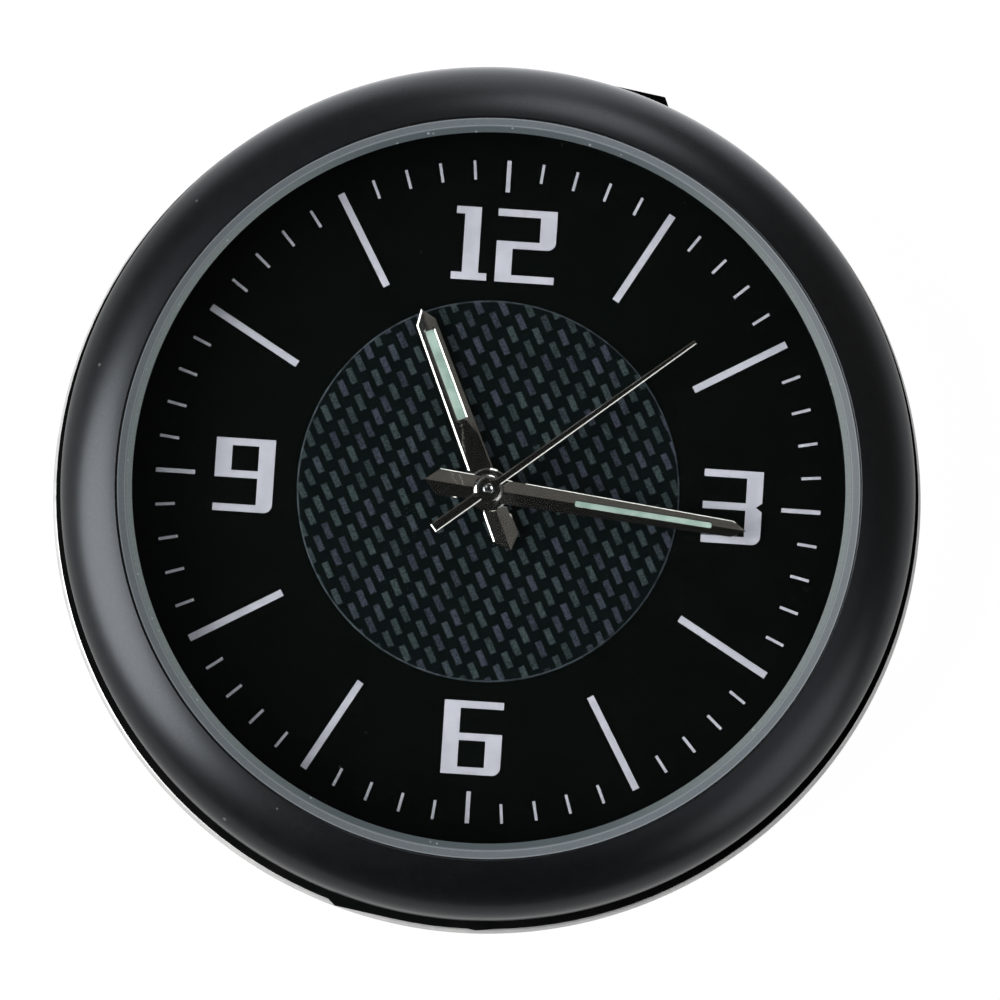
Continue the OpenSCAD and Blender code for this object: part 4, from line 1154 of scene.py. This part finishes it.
@dataclass(frozen=True)
class PointedHand:
    """Sizes of one ridged hand, along the hand from the axis."""

    name: str
    clock: float
    length: float
    width: float
    hole_r: float
    slot: Point
    slot_w: float
    slot_edge: float
    chamfer_w: float
    root_lean: float = 1.0


@dataclass
class Hands:
    """The three hands with their luminous strips and the seconds pipe."""

    shop: Shop
    hour: PointedHand = PointedHand("hour", 336.0, 9.0, 0.94, 0.74, (3.52, 7.95), 0.44, 0.055, 0.066, 0.1)
    minute: PointedHand = PointedHand("minute", 95.5, 12.1, 0.76, 0.48, (4.05, 10.5), 0.28, 0.012, 0.026)
    tail: float = 3.0
    tail_w: float = 1.24
    root_w: float = 1.16
    root_gap: float = 1.1
    point_l: float = 0.65
    side_h: float = 0.1
    ridge_h: float = 0.22
    slope: float = 0.42
    hub_r: float = 1.0
    hub_h: float = 0.11
    hub_edge: float = 0.07
    collet_wall: float = 0.22
    collet_edge: float = 0.04
    slot_round: float = 0.1
    lume_gap: float = 0.01
    lume_edge: float = 0.03
    seconds_clock: float = 50.8
    seconds_half: tuple[Point, ...] = ((0.1, 11.8), (0.17, 0.6), (0.22, -0.6), (0.22, -3.16))
    seconds_edge: Point = (0.05, 0.035)
    seconds_hub_r: float = 0.7
    seconds_round: float = 0.25
    seconds_lean: Point = (8.0, 52.0)
    seconds_steps: int = 8
    seconds_hole_r: float = 0.26
    pipe_hole_r: float = 0.11
    pipe_round: float = 0.06
    pipe_facets: int = 6
    pipe_steps: int = 64
    cap_low: float = 0.004
    cap_t: float = 0.006
    cap_rim: float = 0.045
    cap_slope: float = 0.06

    def build(self) -> None:
        """Makes each hand."""
        for hand in (self.hour, self.minute):
            self.build_pointed(hand)
            self.build_strip(hand)
        self.build_seconds()
        self.build_pipe()

    def surface(self, off: float, lean: float = 1.0) -> float:
        """Gives the height of a ridged hand over its underside.

        Args:
            off: Distance from the hand's middle line.
            lean: Share of the full ridge.

        Returns:
            The height.
        """
        return self.side_h + lean * (self.ridge_h - self.side_h) * (1 - 2 * abs(off) / self.tail_w)

    def base(self, sizes: PointedHand) -> float:
        """Gives the height of a ridged hand's underside."""
        return self.shop.box(f"{sizes.name}_hand")[1].z - self.ridge_h

    def slot_floor(self, sizes: PointedHand) -> float:
        """Gives the height at which the sloped edges of a hand's slot start."""
        rim = self.surface(sizes.slot_w / 2 + sizes.slot_edge)
        return self.base(sizes) + rim - self.slope * sizes.slot_edge

    def build_pointed(self, sizes: PointedHand) -> None:
        """Makes a ridged hand with chamfered edges and a slot.

        Args:
            sizes: Sizes of the hand.
        """
        base = self.base(sizes)
        half = [(0.0, sizes.length), (sizes.width / 2, sizes.length - self.point_l), (self.root_w / 2, 0.0),
                (self.tail_w / 2, self.point_l - self.tail), (0.0, -self.tail)]
        outline = [*half, *((-x, y) for x, y in half[-2:0:-1])]
        hand = plate(f"{sizes.name}_blank", outline, base, base + self.side_h)
        flat = (self.hub_r, sizes.slot[0] - self.root_gap)
        with editing(hand):
            bpy.ops.mesh.bisect(plane_co=(0, 0, 0), plane_no=(1, 0, 0))
            for along in (-self.hub_r, *flat, sizes.slot[0] - self.slot_round):
                bpy.ops.mesh.select_all(action="SELECT")
                bpy.ops.mesh.bisect(plane_co=(0, along, 0), plane_no=(0, 1, 0))
            inset_tops(hand, sizes.chamfer_w)
        for point in hand.data.vertices:
            if point.co.z > base + self.side_h / 2:
                at_root = flat[0] - self.lume_gap < point.co.y < flat[1] + self.lume_gap
                inner = self.surface(point.co.x, sizes.root_lean if at_root else 1.0)
                drop = 0.0 if point.select else self.slope * sizes.chamfer_w
                point.co.z = base + max(self.side_h / 2, inner - drop)
        self.add_hub(hand, sizes)
        self.cut_slot(hand, sizes)
        turn(hand, sizes.clock)
        self.shop.finish(hand, f"{sizes.name}_hand", f"{sizes.name}_hand_piece", smooth=CRISP)

    def add_hub(self, hand: Object, sizes: PointedHand) -> None:
        """Adds a round hub and a collet to a hand and bores them.

        Args:
            hand: The hand.
            sizes: Sizes of the hand.
        """
        low, high = (corner.z for corner in self.shop.box(f"{sizes.name}_hand"))
        base = self.base(sizes)
        collet_r = sizes.hole_r + self.collet_wall
        for reach, foot, top, edge in ((self.hub_r, base, base + self.hub_h, self.hub_edge),
                                       (collet_r, low, high, self.collet_edge)):
            shoulder = [(reach, top - self.slope * edge), (reach - edge, top)]
            profile = [(0.0, foot), (reach, foot), *shoulder, (0.0, top)]
            cut(hand, turned("hub", profile, HUB_STEPS), Cut.ADD)
        self.bore(hand, sizes.hole_r, low, high)

    @staticmethod
    def bore(hand: Object, hole_r: float, low: float, high: float) -> None:
        """Bores a hand along its axis.

        Args:
            hand: The hand.
            hole_r: Radius of the hole.
            low: Height of the hand's underside.
            high: Height of the hand's top.
        """
        profile = [(0.0, low - PAST), (hole_r, low - PAST), (hole_r, high + PAST), (0.0, high + PAST)]
        cut(hand, turned("bore", profile, HUB_STEPS), Cut.TAKE)

    def cut_slot(self, hand: Object, sizes: PointedHand) -> None:
        """Cuts the slot for the luminous strip, with sloped edges.

        Args:
            hand: The hand.
            sizes: Sizes of the hand.
        """
        half_w = sizes.slot_w / 2
        start, end = sizes.slot
        floor = self.slot_floor(sizes)
        tool = block("slot", (-half_w, start, floor - PAST), (half_w, end, floor + PAST), self.slot_round)
        cut(hand, tool, Cut.TAKE)
        rise = 2 * self.slope * sizes.slot_edge
        funnel = block("funnel", (-half_w, start, floor), (half_w, end, floor + rise), self.slot_round)
        with editing(funnel):
            pick_tops(funnel)
            wider = 4 * sizes.slot_edge
            grown = [(size + wider) / size for size in (sizes.slot_w, end - start)]
            bpy.ops.transform.resize(value=(*grown, 1.0), center_override=(0, (start + end) / 2, floor))
        cut(hand, funnel, Cut.TAKE)

    def build_strip(self, sizes: PointedHand) -> None:
        """Makes the luminous strip of a hand, level with the foot of the slot's sloped edges.

        Args:
            sizes: Sizes of the hand.
        """
        low = self.shop.box(f"{sizes.name}_lume")[0].z
        gap = self.lume_gap
        half_w = sizes.slot_w / 2 - gap
        strip = block("strip", (-half_w, sizes.slot[0] + gap, low),
                      (half_w, sizes.slot[1] - gap, self.slot_floor(sizes)), self.slot_round - gap)
        soften(strip, self.lume_edge)
        turn(strip, sizes.clock)
        self.shop.finish(strip, f"{sizes.name}_lume", f"{sizes.name}_strip", smooth=50.0)

    def build_seconds(self) -> None:
        """Makes the flat seconds hand with chamfered edges and a hub with a round edge."""
        low, high = (corner.z for corner in self.shop.box("seconds_hand"))
        outline = [*self.seconds_half, *((-x, y) for x, y in reversed(self.seconds_half))]
        hand = plate("seconds_blank", outline, low, high)
        edge_w, edge_h = self.seconds_edge
        with editing(hand):
            inset_tops(hand, edge_w)
        for point in hand.data.vertices:
            if point.co.z > high - edge_h / 2 and not point.select:
                point.co.z -= edge_h
        start, end = (math.radians(lean) for lean in self.seconds_lean)
        round_r = self.seconds_round
        middle = (self.seconds_hub_r - round_r * math.sin(end), high - round_r * math.cos(start))
        edge = arc(middle, round_r, *self.seconds_lean, self.seconds_steps)
        profile = [(0.0, high), *edge, (self.seconds_hub_r, low), (0.0, low)]
        cut(hand, turned("hub", profile, HUB_STEPS), Cut.ADD)
        self.bore(hand, self.seconds_hole_r, low, high)
        turn(hand, self.seconds_clock)
        self.shop.finish(hand, "seconds_hand", "seconds_hand_piece", smooth=CRISP)

    def build_pipe(self) -> None:
        """Turns the pipe with a round top that caps the arbor in a small dimple."""
        low, high = self.shop.box("seconds_pipe")
        cap = high.z + self.cap_low
        dimple = cap + self.cap_t
        rim = cap + self.cap_rim
        round_r = self.pipe_round
        shoulder = arc((high.x - round_r, rim - round_r), round_r, QUARTER, 0.0, self.pipe_facets)
        hole_r = self.pipe_hole_r
        profile = [(hole_r, low.z), (high.x, low.z), *shoulder, (hole_r + self.cap_slope, rim),
                   (hole_r, dimple), (0.0, dimple), (0.0, cap), (hole_r, cap)]
        pipe = turned("pipe", profile, self.pipe_steps)
        self.shop.finish(pipe, "seconds_pipe", "pipe", smooth=25.0)


@dataclass
class Movement:
    """The quartz movement behind the dial."""

    shop: Shop
    round_w: float = 0.05
    wire_r: float = 0.05
    wire_sides: int = 6
    wire_steps: int = 20
    sleeve_steps: int = 48
    core_gap: float = 0.01

    def build(self) -> None:
        """Winds the coil, rounds the larger pieces and dresses the rest."""
        self.build_coil()
        self.shop.round_off(
            self.round_w, "movement_ring", "main_plate", "train_bridge", "centre_bridge", "button_cell",
            "cell_clip", "quartz_can", "driver_chip", "circuit_board", "stator", "coil_core",
        )
        self.shop.dress(
            "bridge_screws", "centre_bridge_screws", "centre_tube", "dial_washer", "hour_wheel",
            "cannon_pinion", "centre_wheel", "minute_wheel", "setting_wheel", "third_wheel",
            "seconds_wheel", "fifth_wheel", "rotor_pinion", "rotor_magnet", "clip_screws",
            "negative_contact", "clutch", "setting_stem", "crown", "stem_stop",
        )

    def build_sleeve(self) -> Object:
        """Makes the sleeve that the coil is wound on, with a slot for the core.

        Returns:
            The sleeve.
        """
        low, high = self.shop.box("coil_winding")
        middle = (low + high) / 2
        sleeve_r = (high.x - low.x) / 2 - self.wire_r
        profile = [(0.0, low.y), (sleeve_r, low.y), (sleeve_r, high.y), (0.0, high.y)]
        sleeve = turned("sleeve", profile, self.sleeve_steps)
        sleeve.location = (middle.x, 0.0, middle.z)
        sleeve.rotation_euler.x = -math.pi / 2
        settle(sleeve)
        gap = Vector((self.core_gap, 0.0, self.core_gap))
        core_low, core_high = self.shop.box("coil_core")
        return cut(sleeve, block("core room", tuple(core_low - gap), tuple(core_high + gap)), Cut.TAKE)

    def build_coil(self) -> None:
        """Winds one layer of wire on the sleeve, turn beside turn."""
        low, high = self.shop.box("coil_winding")
        middle = (low + high) / 2
        sleeve = self.build_sleeve()
        start = ((high.x - low.x) / 2 - self.wire_r, self.wire_r, 0.0)
        bpy.ops.object.select_all(action="DESELECT")
        bpy.ops.mesh.primitive_circle_add(vertices=self.wire_sides, radius=self.wire_r, location=start)
        wire = bpy.context.object
        settle(wire)
        pitch = 2 * self.wire_r
        winding = wire.modifiers.new("winding", "SCREW")
        winding.axis = "Y"
        winding.screw_offset = pitch
        winding.iterations = int((high.y - low.y) / pitch) - 1
        winding.steps = winding.render_steps = self.wire_steps
        log.info("coil of %d turns", winding.iterations)
        bpy.ops.object.modifier_apply(modifier=winding.name)
        with editing(wire):
            bpy.ops.mesh.fill_holes(sides=0)
            face_outward()
        wire.location = (middle.x, low.y, middle.z)
        settle(wire)
        sleeve.select_set(True)
        bpy.context.view_layer.objects.active = sleeve
        bpy.ops.object.join()
        self.shop.finish(sleeve, "coil_winding", "coil", smooth=60.0)


@dataclass(frozen=True)
class Lamp:
    """A round lamp, by its direction in the picture, half of the angle it fills, and its brightness."""

    name: str
    azimuth: float
    elevation: float
    spread: float
    radiance: float


@dataclass(frozen=True)
class Glow:
    """A soft patch of light in the room, by its direction in the picture and the cosines of its edge."""

    azimuth: float
    elevation: float
    start: float
    full: float
    color: Color


@dataclass
class Studio:
    """The camera, the lamps, the floor and the room round them."""

    tilt_down: float = 4.5
    tilt_left: float = 0.42
    roll: float = 3.7
    distance: float = 450.0
    field: float = 46.53
    aim_right: float = 0.55
    aim_down: float = 0.385
    sensor: float = 36.0
    near: float = 0.01
    dial_z: float = 6.1
    lamp_reach: float = 0.6
    lamps: tuple[Lamp, ...] = (
        Lamp("key", 188.0, 34.0, 25.0, 6.3),
        Lamp("top", 76.0, 32.0, 11.0, 3.1),
        Lamp("low", 322.0, 22.0, 17.0, 1.5),
    )
    floor_r: float = 3.0
    floor_sides: int = 96
    floor_color: Color = (0.8, 0.8, 0.8)
    floor_rough: float = 0.9
    floor_glow: float = 0.97
    floor_faint: Color = (0.1, 0.1, 0.1)
    # painted light and shade in reflections: glossy rays see the floor glow brighter towards floor_bright
    # and dimmer on the other sides
    floor_bright: float = 85.0
    floor_wide: float = 0.5
    floor_dim: Color = (0.5, 0.5, 0.5)
    floor_lit: Color = (1.8, 1.8, 1.85)
    room: Color = (0.012, 0.012, 0.0115)
    glows: tuple[Glow, ...] = (
        Glow(56.0, 0.0, 0.14, 0.3, (0.115, 0.108, 0.1)),
        Glow(140.0, 53.0, 0.875, 0.96, (0.17, 0.17, 0.18)),
        Glow(327.0, 56.0, 0.94, 0.985, (0.62, 0.62, 0.64)),
        Glow(85.0, 5.0, 0.955, 0.985, (1.1, 1.1, 1.1)),
    )

    def build(self) -> None:
        """Makes the camera, the lamps, the floor and the room."""
        self.build_camera()
        for lamp in self.lamps:
            self.hang(lamp)
        self.build_floor()
        self.build_world()
        bpy.context.scene.view_settings.view_transform = "Standard"

    def axes(self) -> tuple[Vector, Vector, Vector]:
        """Works out how the picture lies in the frame.

        Returns:
            The picture's right, up and outward directions.
        """
        left, down, roll = map(math.radians, (self.tilt_left, self.tilt_down, self.roll))
        out = Vector((-math.sin(left), -math.sin(down), 1.0)).normalized()
        right = Vector((-math.sin(roll), math.cos(roll), 0.0)).cross(out).normalized()
        return right, out.cross(right), out

    def build_camera(self) -> None:
        """Puts the camera over the dial."""
        right, up, out = self.axes()
        aim = Vector((0.0, 0.0, self.dial_z)) + right * self.aim_right - up * self.aim_down
        data = bpy.data.cameras.new("camera")
        data.sensor_width = self.sensor
        data.lens = self.sensor * self.distance / self.field
        data.clip_start = self.near
        camera = bpy.data.objects.new("camera", data)
        bpy.context.scene.collection.objects.link(camera)
        turned_to = Matrix((right, up, out)).transposed().to_4x4()
        camera.matrix_world = Matrix.Translation((aim + out * self.distance) * MM) @ turned_to
        bpy.context.scene.camera = camera

    def toward(self, azimuth: float, elevation: float) -> Vector:
        """Gives a direction from the dial by its place in the picture.

        Args:
            azimuth: Direction in the picture, in degrees from its right.
            elevation: Height above the dial, in degrees.

        Returns:
            The direction, one long.
        """
        side, height = math.radians(azimuth + self.roll), math.radians(elevation)
        level = math.cos(height)
        return Vector((level * math.cos(side), level * math.sin(side), math.sin(height)))

    def hang(self, lamp: Lamp) -> None:
        """Hangs one soft lamp that faces the dial and shows in the bezel.

        Args:
            lamp: The lamp.
        """
        toward = self.toward(lamp.azimuth, lamp.elevation)
        size = 2 * self.lamp_reach * math.tan(math.radians(lamp.spread))
        data = bpy.data.lights.new(lamp.name, "AREA")
        data.shape = "DISK"
        data.size = size
        data.energy = lamp.radiance * math.pi * math.pi * (size / 2) ** 2
        hung = bpy.data.objects.new(lamp.name, data)
        bpy.context.scene.collection.objects.link(hung)
        hung.location = toward * self.lamp_reach
        hung.rotation_euler = toward.to_track_quat("Z", "Y").to_euler()

    def seen_through(self, graph: Graph, *rays: str) -> NodeSocket:
        """Tells rays that show the background from those that light the clock.

        Args:
            graph: Graph of the floor or the room.
            rays: Kinds of ray that show it, besides those straight through the glass.

        Returns:
            1 for a ray that shows the background, and 0 for another.
        """
        path = graph.add("LightPath").outputs
        bounces = graph.math("ADD", path["Diffuse Depth"], path["Glossy Depth"])
        straight = graph.math("LESS_THAN", bounces, 0.5)
        seen = graph.math("MULTIPLY", path["Is Transmission Ray"], straight)
        for ray in rays:
            seen = graph.math("MAXIMUM", seen, path[ray])
        return seen

    def build_floor(self) -> None:
        """Lays the white floor, which is clear from below."""
        bpy.ops.object.select_all(action="DESELECT")
        bpy.ops.mesh.primitive_circle_add(vertices=self.floor_sides, radius=self.floor_r, fill_type="NGON")
        floor = bpy.context.object
        floor.name = "floor"
        material, graph, shader, output = new_material("white floor")
        graph.put(shader, {"Base Color": self.floor_color, "Roughness": self.floor_rough})
        # Painted light and shade: reflections see the floor's glow scaled from the dim value up to the lit
        # value towards one side.
        side = graph.vector("NORMALIZE", graph.millimetres())
        along = graph.vector("DOT_PRODUCT", side, self.toward(self.floor_bright, 0.0), out="Value")
        mirrored = graph.mix(graph.fit(along, self.floor_wide, 1.0), self.floor_dim, self.floor_lit)
        glossy = graph.add("LightPath").outputs["Is Glossy Ray"]
        glow = graph.put(graph.add("Emission"), {"Color": graph.mix(glossy, WHITE, mirrored),
                                                           "Strength": self.floor_glow})
        faint = graph.put(graph.add("BsdfDiffuse"), {"Color": self.floor_faint})
        both = graph.put(graph.add("AddShader"), {0: glow.outputs[0], 1: faint.outputs[0]})
        seen = self.seen_through(graph, "Is Camera Ray", "Is Glossy Ray")
        above = graph.choose(seen, shader.outputs["BSDF"], both.outputs["Shader"])
        clear = graph.add("BsdfTransparent").outputs["BSDF"]
        below = graph.add("NewGeometry").outputs["Backfacing"]
        graph.put(output, {"Surface": graph.choose(below, above, clear)})
        floor.data.materials.append(material)

    def build_world(self) -> None:
        """Makes a dim room with soft glows, which the camera sees as white."""
        world = bpy.data.worlds.new("room")
        world.use_nodes = True
        bpy.context.scene.world = world
        graph = Graph(world.node_tree)
        facing = graph.add("TexCoord").outputs["Generated"]
        color = self.room
        for glow in self.glows:
            toward = self.toward(glow.azimuth, glow.elevation)
            near = graph.vector("DOT_PRODUCT", facing, toward, out="Value")
            color = graph.mix(graph.fit(near, glow.start, glow.full), color, glow.color)
        seen = self.seen_through(graph, "Is Camera Ray")
        graph.put(world.node_tree.nodes["Background"], {"Color": graph.mix(seen, color, WHITE)})


def main() -> None:
    """Builds the clock around the frame."""
    logging.basicConfig(level=logging.INFO, format="%(name)s: %(message)s")
    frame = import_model()
    shop = Shop(frame)
    for assembly in (Studio(), Bezel(shop), Case(shop), Dial(shop), Hands(shop), Movement(shop)):
        assembly.build()


if __name__ == "__main__":
    main()
